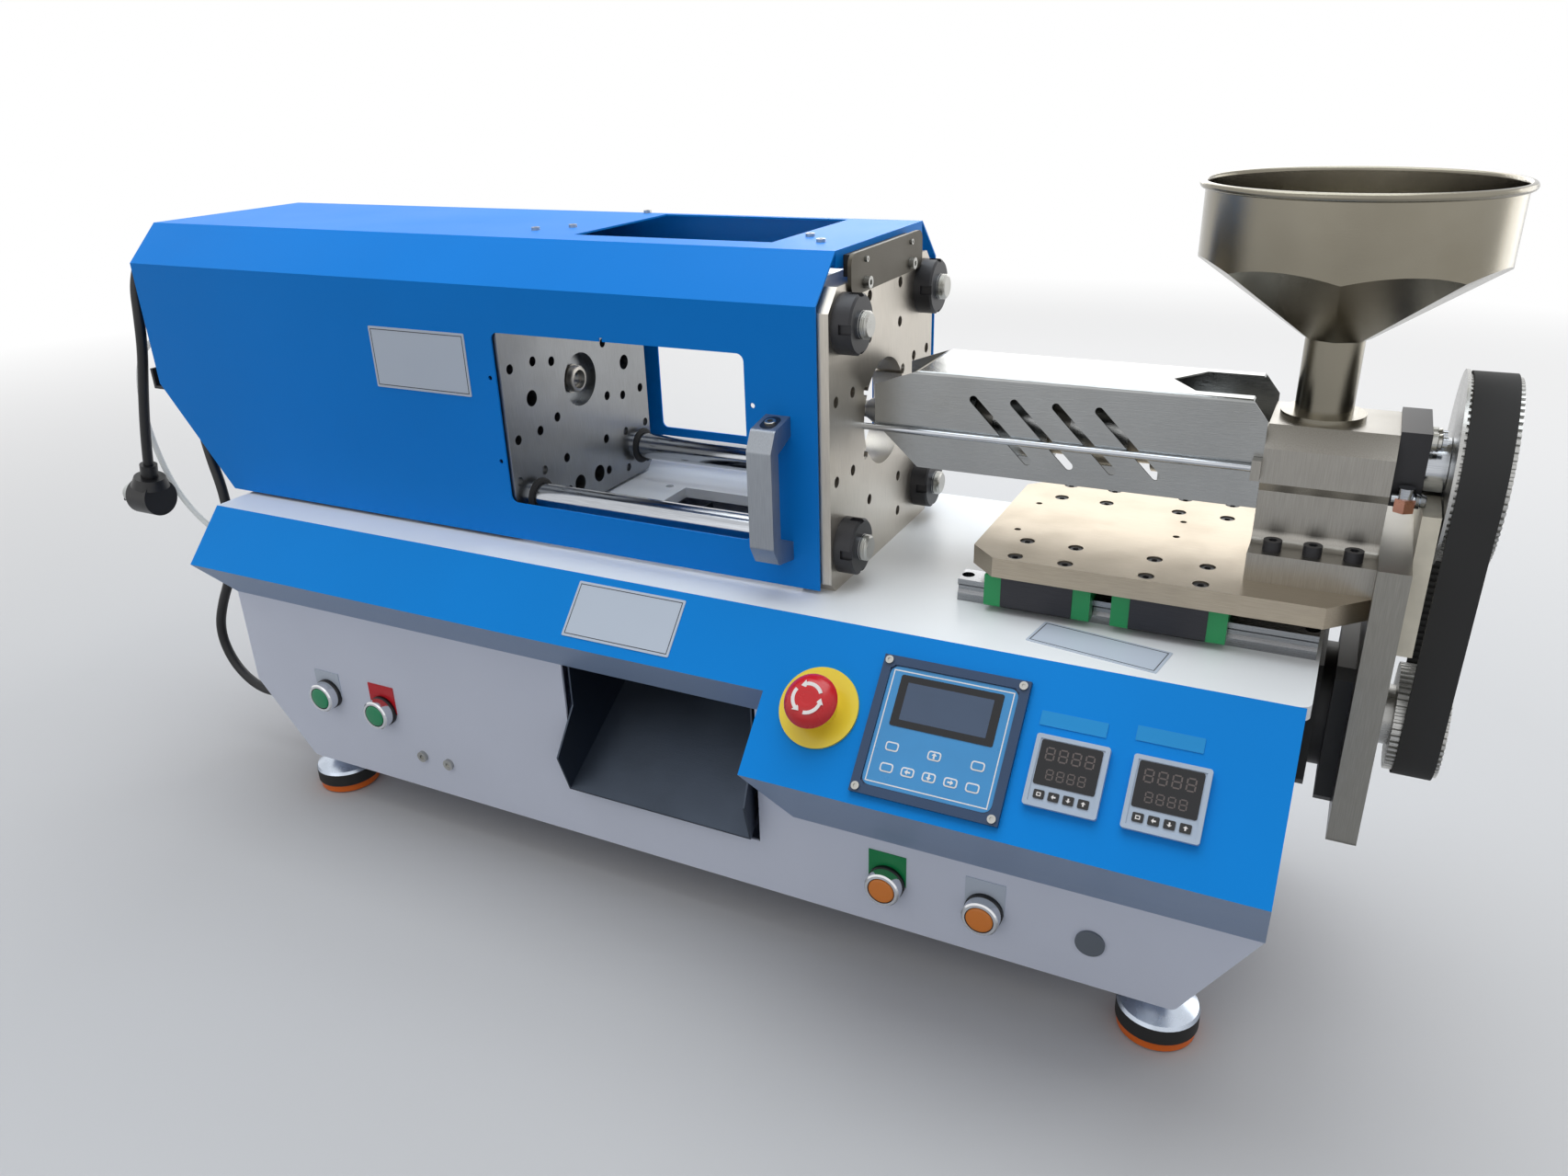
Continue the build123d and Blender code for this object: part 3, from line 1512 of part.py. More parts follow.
def make_screws():
    """Small screws: hood roof, hood plate, handle, display and front panel."""
    screws = []
    roof = hood_roof
    for x, y in ((-305, 117), (-284, 141), (-277, 248), (-59, 138), (-38, 112)):
        screws.append(socket_screw(Plane(origin=(x, y, roof)), 3.6, 2.4))
    for y in (axis_y - 46, axis_y + 46):
        screws.append(socket_screw_x(bracket_thickness, y, bracket_low + 6.5, 4.5, 4.0))
        screws.append(socket_screw_x(bracket_thickness, y * 1.0, hood_roof - 9.0, 2.2, 1.6))
    for x, z in panel_screw_places:
        screws.append(socket_screw(Plane(origin=(x, 0, z), z_dir=(0, -1, 0)), 5.5, 3.0))
    left, right, high, low = display_box
    for x in (left + 4.5, right - 4.5):
        for down in (high + 4.0, low - 4.0):
            seat = slope_plane(x, down, display_height)
            screws.append(socket_screw(seat, 2.9, 1.8))
    return Compound(children=screws)


# Mains lead and air hose

lead_route = [
    (-636.5, 45.0, -218.6),
    (-656.3, 45.0, -233.5),
    (-681.5, 45.0, -239.5),
    (-707.0, 45.0, -234.0),
    (-727.5, 45.0, -218.0),
    (-739.0, 45.0, -194.5),
    (-739.0, 45.0, -168.5),
    (-725.0, 45.0, -139.0),
    (-706.0, 45.0, -110.0),
    (-693.0, 46.0, -78.0),
    (-687.0, 48.0, -43.0),
    (-690.0, 51.0, -8.0),
    (-704.0, 56.0, 25.0),
    (-720.0, 66.0, 57.0),
    (-734.0, 86.0, 85.0),
    (-739.0, 112.0, 108.0),
    (-740.0, 139.0, 131.0),
    (-739.0, 161.0, 160.0),
    (-737.0, 163.0, 199.0),
    (-737.0, 141.0, 232.0),
    (-737.0, 103.0, 246.0),
    (-737.0, 65.0, 233.0),
    (-737.0, 44.0, 202.0),
    (-738.0, 40.0, 166.0),
    (-745.0, 40.0, 134.0),
    (-756.0, 40.0, 103.0),
    (-767.0, 40.0, 70.0),
    (-775.0, 39.0, 38.0),
    (-781.0, 39.0, 12.0),
]
hose_route = [
    (-648.0, 74.0, -92.0),
    (-664.0, 74.0, -93.0),
    (-688.0, 72.0, -88.0),
    (-714.0, 67.0, -77.0),
    (-741.0, 63.0, -61.0),
    (-767.0, 62.0, -40.0),
    (-787.0, 62.5, -12.0),
    (-797.0, 62.5, 20.0),
    (-799.0, 61.0, 54.0),
    (-794.0, 59.5, 86.0),
    (-782.0, 58.5, 115.0),
    (-762.0, 58.0, 135.0),
    (-741.0, 58.0, 145.0),
]


def cord_radii(points):
    """For each corner, the largest arc that its two runs allow."""
    radii = []
    for before, corner, after in zip(points, points[1:], points[2:]):
        first, second = Vector(*corner) - Vector(*before), Vector(*after) - Vector(*corner)
        turn = math.radians(first.get_angle(second))
        radii.append(0.45 * min(first.length, second.length) / math.tan(turn / 2))
    return radii


def make_cord(points, radius, name):
    """A cord as straight runs and tangent arcs, swept with a round section."""
    radii = cord_radii(points)
    path = FilletPolyline(*points, radius=radii)
    start = Vector(*points[1]) - Vector(*points[0])
    cord = sweep(Plane(origin=points[0], z_dir=start) * Circle(radius), path=path)
    share = cord.volume / (math.pi * radius**2 * path.length)
    print(name, "length", round(path.length), "radii", [round(r) for r in radii], "fill", round(share, 4))
    return cord


def make_lead_ends():
    """The plug on the mains lead, its gland, and the peg and hook that hold the lead."""
    end = Vector(*lead_route[-1])
    down = (end - Vector(*lead_route[-2])).normalized()
    plane = Plane(origin=end, z_dir=down)
    plug = extrude(plane * Circle(8.5), amount=14)
    plug += extrude(plane.offset(14) * Circle(plug_body_radius - 4), amount=10, taper=-20)
    middle = plane.offset(24 + plug_body_radius - 6).origin
    plug += Plane(origin=middle, z_dir=(-1, 0, 0)) * Cylinder(plug_body_radius, 30)
    for dy, dz in ((-6.5, -5.0), (6.5, -5.0), (0.0, 7.0)):
        pin = extrude(
            Plane(origin=(middle.X - 15, middle.Y + dy, middle.Z + dz), z_dir=(-1, 0, 0))
            * Rectangle(2.4, 6.5), amount=18,
        )
        plug += pin
    gland = extrude(toe_plane() * RegularPolygon(gland_radius + 2.0, 6), amount=5.0)
    gland += extrude(toe_plane(5.0) * Circle(gland_radius - 1.0), amount=gland_length - 5.0)
    gland += extrude(toe_plane() * Circle(gland_radius - 2.5), amount=-14.0)
    gland -= extrude(toe_plane(-1.0) * Circle(lead_radius - 0.5), amount=-14.0)
    peg_z = max(point[2] for point in lead_route) - 6.0 - lead_radius - peg_radius - 0.6
    peg = rod_x(peg_radius, hood_left - peg_length, hood_left, peg_y, peg_z)
    peg += rod_x(peg_radius + 4.0, hood_left - peg_length, hood_left - peg_length + 3.0, peg_y, peg_z)
    hook = block(hood_left - 3.0, hood_left, gland_y - 5, gland_y + 11, hook_low, hook_high)
    hook += block(hood_left - 14.0, hood_left, gland_y - 5, gland_y + 11, hook_low, hook_low + 3)
    hook += block(hood_left - 14.0, hood_left - 11.0, gland_y - 5, gland_y + 11, hook_low, hook_high - 8)
    return plug, gland, Compound(children=[peg, hook])


def make_air_fittings():
    """The push-in fittings at both ends of the air hose."""

    def fitting(end, before, wall_x, y, z):
        inward = (Vector(*end) - Vector(*before)).normalized()
        mouth = Plane(origin=end, z_dir=inward)
        body = extrude(mouth * Circle(fitting_radius), amount=fitting_reach)
        elbow = Vector(*end) + inward * fitting_reach
        ball_radius = fitting_radius + fitting_ball_over
        ball = Plane(origin=elbow) * Sphere(ball_radius)
        reach = 2 * ball_radius
        ball -= block(wall_x, wall_x + reach, y - reach, y + reach, z - reach, z + reach)
        body += ball
        body += rod_x(fitting_radius, elbow.X, wall_x, y, z)
        return body + rod_x(hose_radius + 1.0, wall_x - 1, wall_x + 8.0, y, z)

    low = fitting(hose_route[0], hose_route[1], deck_left, hose_port_y, hose_port_z)
    high = fitting(hose_route[-1], hose_route[-2], hood_left, hose_top_y, hose_top_z)
    return Compound(children=[low, high])


def write_part(name, shape):
    """Move a piece to the part frame and write its file."""
    export_step(shape.moved(to_part_frame), f"parts/{name}.step")


def main():
    """Build every piece and write one file for each."""
    os.makedirs("parts", exist_ok=True)
    pieces = {
        "cabinet": make_cabinet(),
        "deck": make_deck(),
        "console": make_console(),
        "chute": make_chute(),
        "fixed_platen": make_fixed_platen(),
        "rear_platen": make_rear_platen(),
        "moving_platen": make_moving_platen(),
        "bush_flanges": make_bush_flanges(),
        "piston_rod": make_piston_rod(),
        "clamp_cylinder": make_clamp_cylinder(),
        "hood": make_hood(),
        "hood_brackets": make_hood_brackets(),
        "grab_handle": make_handle(),
        "rails": make_rails(),
        "carriage_plate": make_carriage_plate(),
        "carriage_screws": make_carriage_screws(),
        "feed_block": make_feed_block(),
        "barrel": make_barrel(),
        "nozzle": make_nozzle(),
        "heater_bands": make_heater_bands(),
        "barrel_guard": make_guard(),
        "stop_rod": make_stop_rod(),
        "motor_plate": make_motor_plate(),
        "motor": make_motor(),
        "pulley_spacer": make_spacer(),
        "bearing_housing": make_housing(),
        "cooling_fittings": make_cooling_fittings(),
        "screw": make_screw(),
        "large_pulley": make_large_pulley(),
        "small_pulley": make_small_pulley(),
        "belt": make_belt(),
        "display_unit": make_display(),
        "controllers": make_controllers(),
        "blanking_plug": make_blanking_plug(),
        "small_screws": make_screws(),
        "mains_lead": make_cord(lead_route, lead_radius, "mains_lead"),
        "air_hose": make_cord(hose_route, hose_radius, "air_hose"),
        "air_fittings": make_air_fittings(),
    }
    pieces["hopper"], pieces["hopper_neck"] = make_hopper()
    pieces["foot_cups"], pieces["foot_pads"], pieces["foot_rings"] = make_feet()
    pieces["tie_bars"], pieces["tie_bar_nuts"] = make_tie_bars()
    ejector_cylinder, pieces["ejector_rod"] = make_ejector()
    pieces["thrust_bridge"] = Compound(children=[make_thrust_bridge(), ejector_cylinder])
    pieces["carriage_blocks"], pieces["block_caps"] = make_blocks()
    pieces["estop_base"], pieces["estop_stem"], pieces["estop_knob"] = make_estop()
    pieces["mains_plug"], pieces["cable_gland"], pieces["lead_hooks"] = make_lead_ends()
    pieces["button_bezels"], caps = make_buttons()
    for name, cap in zip(("button_power", "button_heat", "button_start", "button_clamp"), caps):
        pieces[name] = cap
    for name, shape in pieces.items():
        write_part(name, shape)


main()
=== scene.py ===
"""Finishes, small parts, cords, light and camera for the benchtop injection moulding machine.

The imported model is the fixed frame. Places are given in millimetres from the machine's own datum:
x from the fixed platen's injection side, y back from the deck's front edge, z up from the deck.
Datum turns them into metres in the part frame, from the boxes of the pieces that carry them.
"""

from __future__ import annotations

import json
import logging
import math
from dataclasses import dataclass, field
from enum import Enum
from typing import Callable, Iterable, Optional, Sequence, Tuple

import bmesh
import bpy
from mathutils import Matrix, Vector

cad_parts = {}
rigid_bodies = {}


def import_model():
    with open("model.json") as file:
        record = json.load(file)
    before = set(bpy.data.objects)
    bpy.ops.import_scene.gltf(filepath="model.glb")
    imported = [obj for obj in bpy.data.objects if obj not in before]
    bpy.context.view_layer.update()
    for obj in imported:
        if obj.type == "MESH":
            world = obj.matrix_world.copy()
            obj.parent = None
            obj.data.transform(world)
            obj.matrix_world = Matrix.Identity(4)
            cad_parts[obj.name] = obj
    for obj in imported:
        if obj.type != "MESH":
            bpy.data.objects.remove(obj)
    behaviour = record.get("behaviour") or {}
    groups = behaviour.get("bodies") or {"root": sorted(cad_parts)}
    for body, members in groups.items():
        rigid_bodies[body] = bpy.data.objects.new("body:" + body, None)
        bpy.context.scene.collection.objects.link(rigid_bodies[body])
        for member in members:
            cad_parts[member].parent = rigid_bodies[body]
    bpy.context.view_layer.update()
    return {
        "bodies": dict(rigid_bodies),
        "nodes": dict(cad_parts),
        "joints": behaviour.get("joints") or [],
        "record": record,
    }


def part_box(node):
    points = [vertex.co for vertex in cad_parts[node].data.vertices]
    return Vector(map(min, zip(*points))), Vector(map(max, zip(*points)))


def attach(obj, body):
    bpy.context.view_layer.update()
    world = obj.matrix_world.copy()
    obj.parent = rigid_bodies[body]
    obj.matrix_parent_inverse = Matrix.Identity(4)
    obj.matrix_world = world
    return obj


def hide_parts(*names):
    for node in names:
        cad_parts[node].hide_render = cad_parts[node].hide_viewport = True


LOG = logging.getLogger("moulding_machine")

Colour = Tuple[float, float, float]
Place = Tuple[float, float, float]
Point = Sequence[float]
Outline = Sequence[Tuple[float, float]]

MM = 0.001
SLOPE_ANGLE = math.radians(46.85)


class Body(Enum):
    """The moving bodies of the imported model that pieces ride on."""

    FRAME = "frame"
    CLAMP = "clamp"
    CARRIAGE = "carriage"
    KNOB = "stop_knob"
    POWER = "power_button"
    HEAT = "heat_button"
    START = "start_button"
    CLOSE = "clamp_button"


class Grain(Enum):
    """The direction that a machined surface was brushed or ground along."""

    ALONG = (1.0, 28.0, 28.0)
    ACROSS = (28.0, 1.0, 28.0)
    UPRIGHT = (28.0, 28.0, 1.0)
    MIXED = (1.0, 1.0, 1.0)


def srgb(red: int, green: int, blue: int) -> Colour:
    """Turn an eight-bit screen colour into linear light.

    Args:
        red: Red from 0 to 255.
        green: Green from 0 to 255.
        blue: Blue from 0 to 255.

    Returns:
        The linear colour.
    """

    def linear(part: float) -> float:
        """One channel of the curve."""
        part /= 255.0
        return part / 12.92 if part <= 0.04045 else ((part + 0.055) / 1.055) ** 2.4

    return (linear(red), linear(green), linear(blue))


def maths(operation: str, reflected: bool = False) -> Callable[["Term", object], "Term"]:
    """Make a method that joins a term and a value by a Math node.

    Args:
        operation: The Math node's operation.
        reflected: Whether the value stands on the left.

    Returns:
        The method.
    """

    def method(term: "Term", other: object) -> "Term":
        """Add the Math node and take its result."""
        first, second = (other, term) if reflected else (term, other)
        return term.graph.add("ShaderNodeMath", {"operation": operation}, {0: first, 1: second})

    return method


class Term:
    """A shader socket that takes part in Python arithmetic by adding Math nodes."""

    __add__, __radd__ = maths("ADD"), maths("ADD", True)
    __sub__, __rsub__ = maths("SUBTRACT"), maths("SUBTRACT", True)
    __mul__, __rmul__ = maths("MULTIPLY"), maths("MULTIPLY", True)
    at_least, at_most = maths("MAXIMUM"), maths("MINIMUM")

    def __init__(self, graph: "Graph", socket: bpy.types.NodeSocket) -> None:
        """Keep the graph and the output that holds this term's value."""
        self.graph = graph
        self.socket = socket

    def clamped(self) -> "Term":
        """The term held between nought and one."""
        return self.at_least(0.0).at_most(1.0)


class Graph:
    """One material's node tree, with a short way to add and link nodes."""

    def __init__(self, name: str) -> None:
        """Start a material with a Principled shader.

        Args:
            name: The material's name.
        """
        self.material = bpy.data.materials.new(name)
        self.material.use_nodes = True
        self.tree = self.material.node_tree
        self.shader = self.tree.nodes["Principled BSDF"]

    def node(self, kind: str, settings: dict, values: dict) -> bpy.types.Node:
        """Add a node.

        Args:
            kind: The node's type name.
            settings: Properties that are set first.
            values: Numbers, vectors or terms by the input's name or number.

        Returns:
            The node.
        """
        made = self.tree.nodes.new(kind)
        for key, value in settings.items():
            setattr(made, key, value)
        for key, value in values.items():
            self.feed(made.inputs[key], value)
        return made

    def add(self, kind: str, settings: dict, values: dict, output: object = 0) -> Term:
        """Add a node and take one output as a term.

        Args:
            kind: The node's type name.
            settings: Properties that are set first.
            values: Values or links by input.
            output: The output's name or number.

        Returns:
            The output as a term.
        """
        return Term(self, self.node(kind, settings, values).outputs[output])

    def feed(self, socket: bpy.types.NodeSocket, value: object) -> None:
        """Set an input's value, or link a term to it.

        Args:
            socket: The input.
            value: A number, a vector, a colour or a term.
        """
        if isinstance(value, Term):
            self.tree.links.new(value.socket, socket)
        elif isinstance(value, tuple) and len(value) == 3 and socket.type == "RGBA":
            socket.default_value = (*value, 1.0)
        else:
            socket.default_value = value

    def places(self, stretch: Point = (1.0, 1.0, 1.0)) -> Term:
        """Object coordinates, stretched by a factor for each axis."""
        where = self.add("ShaderNodeTexCoord", {}, {}, "Object")
        return self.add("ShaderNodeMapping", {}, {"Vector": where, "Scale": tuple(stretch)})

    def noise(self, scale: float, detail: float, stretch: Point = (1.0, 1.0, 1.0)) -> Term:
        """Noise on Object coordinates.

        Args:
            scale: Features for each metre.
            detail: Octaves.
            stretch: A factor for each axis.

        Returns:
            The noise's value as a term.
        """
        values = {"Vector": self.places(stretch), "Scale": scale, "Detail": detail}
        return self.add("ShaderNodeTexNoise", {}, values)

    def mix(self, factor: object, first: object, second: object) -> Term:
        """Mix two colours.

        Args:
            factor: A term or number from nought to one.
            first: The colour at nought.
            second: The colour at one.

        Returns:
            The mixed colour as a term.
        """
        made = self.node("ShaderNodeMix", {"data_type": "RGBA"}, {0: factor, 6: first, 7: second})
        return Term(self, made.outputs[2])

    def looked_at(self) -> Term:
        """One for rays from the camera, from metal and through glass, else nought."""
        path = self.node("ShaderNodeLightPath", {}, {})
        shown = Term(self, path.outputs["Is Camera Ray"])
        for name in ("Is Glossy Ray", "Is Transmission Ray"):
            shown = shown.at_least(Term(self, path.outputs[name]))
        return shown

    def bump(self, height: Term, strength: float, distance: float) -> None:
        """Feed the shader's normal from a height.

        Args:
            height: The height as a term.
            strength: The bump's strength.
            distance: The bump's height in metres.
        """
        values = {"Height": height, "Strength": strength, "Distance": distance}
        self.feed(self.shader.inputs["Normal"], self.add("ShaderNodeBump", {}, values, "Normal"))

    def give(self, **values: object) -> None:
        """Feed inputs of the shader, named with underscores for spaces."""
        for key, value in values.items():
            self.feed(self.shader.inputs[key.replace("_", " ")], value)


class Sky(Graph):
    """The world's node tree, with its Background as the shader."""

    def __init__(self, name: str) -> None:
        """Start a world and make it the scene's.

        Args:
            name: The world's name.
        """
        world = bpy.data.worlds.new(name)
        world.use_nodes = True
        bpy.context.scene.world = world
        self.tree = world.node_tree
        self.shader = self.tree.nodes["Background"]


@dataclass(frozen=True)
class Finish:
    """What all finishes share: a name, a colour, how dull it is and its slot in the record."""

    name: str
    colour: Colour
    roughness: float = 0.4
    slot: str = field(default="", kw_only=True)

    def material(self) -> bpy.types.Material:
        """Find or build the material.

        Returns:
            The material.
        """
        found = bpy.data.materials.get(self.name)
        if found:
            return found
        graph = Graph(self.name)
        self.dress(graph)
        graph.material.diffuse_color = (*self.colour, 1.0)
        return graph.material

    def shade(self, graph: Graph, scale: float, amount: float) -> Term:
        """The finish's colour, varied a little over the surface.

        Args:
            graph: The material's graph.
            scale: Patches for each metre.
            amount: How far the colour falls and rises.

        Returns:
            The colour as a term.
        """
        patches = graph.noise(scale, 3.0)
        dark = self.tinted(1.0 - amount)
        light = self.tinted(1.0 + amount * 0.6)
        return graph.mix(((patches - 0.5) * 2.2 + 0.5).clamped(), dark, light)

    def tinted(self, red: float, green: Optional[float] = None, blue: Optional[float] = None) -> Colour:
        """The colour with its channels multiplied, all by the first share if only that is given.

        Args:
            red: The red channel's share.
            green: The green channel's share.
            blue: The blue channel's share.

        Returns:
            The colour.
        """
        shares = (red, red if green is None else green, red if blue is None else blue)
        return tuple(min(1.0, part * share) for part, share in zip(self.colour, shares))

    def dress(self, graph: Graph) -> None:
        """Feed the shader with the varied colour and the roughness."""
        graph.give(Base_Color=self.shade(graph, 9.0, 0.06), Roughness=self.roughness)


@dataclass(frozen=True)
class PowderCoat(Finish):
    """Powder coat: a slight orange peel, with faint dust and rubs in its gloss."""

    peel: float = 0.12
    gloss: float = 0.3
    underside: Optional[Colour] = None

    def dress(self, graph: Graph) -> None:
        """Feed the shader with peel, dust and gloss, and with the underside colour on faces that look
        down: their own pale paint, made darker as painted shade.
        """
        dust = graph.noise(3.2, 6.0)
        rubs = graph.noise(14.0, 8.0, (1.0, 1.0, 5.0))
        colour = self.shade(graph, 5.0, 0.045)
        # Faces that look down take the underside colour, a pale paint darkened as painted shade beneath
        # the slope.
        if self.underside:
            facing = graph.add("ShaderNodeTexCoord", {}, {}, "Normal")
            up = graph.add("ShaderNodeSeparateXYZ", {}, {"Vector": facing}, "Z")
            colour = graph.mix(((up + 0.25) * 12.0).clamped(), self.underside, colour)
        graph.give(
            Base_Color=colour,
            Roughness=(dust * 0.16 + rubs * 0.08 + (self.roughness - 0.12)).clamped(),
            Specular_IOR_Level=self.gloss,
        )
        graph.bump(graph.noise(420.0, 2.0) * 0.7 + graph.noise(1500.0, 1.0) * 0.3, self.peel, 0.0003)


@dataclass(frozen=True)
class GroundMetal(Finish):
    """Ground or milled metal: fine lines along one way, with stains and handling marks."""

    grain: Grain = Grain.MIXED
    lines: float = 0.25
    stains: float = 0.16

    def dress(self, graph: Graph) -> None:
        """Feed the shader with lines, stains and marks."""
        streaks = graph.noise(60.0, 4.0, self.grain.value)
        marks = graph.noise(22.0, 7.0)
        clouds = graph.noise(6.0, 3.0)
        spread = ((marks - 0.45) * 1.6).clamped()
        stain = (spread + clouds * 0.4) * self.stains * 1.6
        lit = graph.mix(((streaks - 0.35) * 1.8).clamped(), self.tinted(0.86), self.tinted(1.12))
        dull = streaks * 0.2 + spread * 0.16 + clouds * 0.1 + (self.roughness - 0.16)
        graph.give(
            Base_Color=graph.mix(stain, lit, self.tinted(0.62, 0.58, 0.52)),
            Roughness=dull.clamped(),
            Metallic=1.0,
        )
        graph.bump(streaks * 0.8 + marks * 0.2, self.lines, 0.0003)


@dataclass(frozen=True)
class PolishedSheet(Finish):
    """Polished stainless sheet: mirror-like, with soft waves, hairlines and dull smears."""

    grain: Grain = Grain.ALONG
    smears: float = 0.25

    def dress(self, graph: Graph) -> None:
        """Feed the shader with waves, hairlines and smears."""
        waves = graph.noise(7.0, 2.0)
        hairs = graph.noise(90.0, 5.0, self.grain.value)
        smear = ((graph.noise(16.0, 5.0) - 0.48) * 3.0).clamped()
        warm = self.tinted(0.72, 0.68, 0.6)
        graph.give(
            Base_Color=graph.mix(smear * self.smears, self.shade(graph, 9.0, 0.14), warm),
            Roughness=(hairs * 0.12 + waves * 0.08 + smear * 0.12 + (self.roughness - 0.1)).clamped(),
            Metallic=1.0,
        )
        graph.bump(waves * 0.7 + hairs * 0.3, 0.22, 0.0014)


@dataclass(frozen=True)
class BlackOxide(Finish):
    """Black oxide on screws and nuts: dark and a little oily, with small worn spots."""

    def dress(self, graph: Graph) -> None:
        """Feed the shader with oil and wear."""
        wear = ((graph.noise(240.0, 5.0) - 0.62) * 6.0).clamped()
        graph.give(
            Base_Color=graph.mix(wear * 0.6, self.shade(graph, 60.0, 0.2), srgb(96, 92, 86)),
            Roughness=(graph.noise(120.0, 4.0) * 0.3 + (self.roughness - 0.15)).clamped(),
            Metallic=0.6,
        )
        graph.bump(graph.noise(900.0, 2.0), 0.15, 0.0002)


@dataclass(frozen=True)
class Moulding(Finish):
    """Moulded plastic with a spark-eroded grain."""

    grain: float = 0.12

    def dress(self, graph: Graph) -> None:
        """Feed the shader with grain and handling."""
        graph.give(
            Base_Color=self.shade(graph, 24.0, 0.07),
            Roughness=(graph.noise(50.0, 5.0) * 0.18 + (self.roughness - 0.09)).clamped(),
            Specular_IOR_Level=0.5,
        )
        graph.bump(graph.noise(1600.0, 2.0), self.grain, 0.0002)


@dataclass(frozen=True)
class Lens(Finish):
    """A lit-from-behind button lens: coloured, glossy, with a moulded prism grain."""

    def dress(self, graph: Graph) -> None:
        """Feed the shader with a soft prism grain."""
        values = {"Vector": graph.places(), "Scale": 900.0}
        cells = graph.add("ShaderNodeTexVoronoi", {}, values, "Distance")
        graph.give(
            Base_Color=graph.mix(cells.clamped(), self.colour, self.tinted(0.55)),
            Roughness=self.roughness,
            Specular_IOR_Level=0.3,
        )
        graph.bump(cells, 0.12, 0.0003)


@dataclass(frozen=True)
class ClearTube(Finish):
    """Clear soft tube, seen as a pale glossy skin."""

    def dress(self, graph: Graph) -> None:
        """Feed the shader with a pale see-through skin."""
        clouds = graph.noise(40.0, 3.0)
        graph.give(
            Base_Color=self.shade(graph, 20.0, 0.05),
            Roughness=(clouds * 0.12 + 0.06).clamped(),
            Alpha=(clouds * 0.2 + 0.42).clamped(),
            Coat_Weight=0.5,
        )


@dataclass(frozen=True)
class ToothedRubber(Finish):
    """Belt rubber: a dull black with a woven facing."""

    def dress(self, graph: Graph) -> None:
        """Feed the shader with a fine weave."""
        values = {"Vector": graph.places(), "Scale": 260.0}
        warp = graph.add("ShaderNodeTexWave", {"bands_direction": "X"}, values)
        weft = graph.noise(520.0, 2.0)
        graph.give(
            Base_Color=self.shade(graph, 30.0, 0.25),
            Roughness=(weft * 0.2 + (self.roughness - 0.1)).clamped(),
            Specular_IOR_Level=0.25,
        )
        graph.bump(warp * 0.6 + weft * 0.4, 0.25, 0.0003)


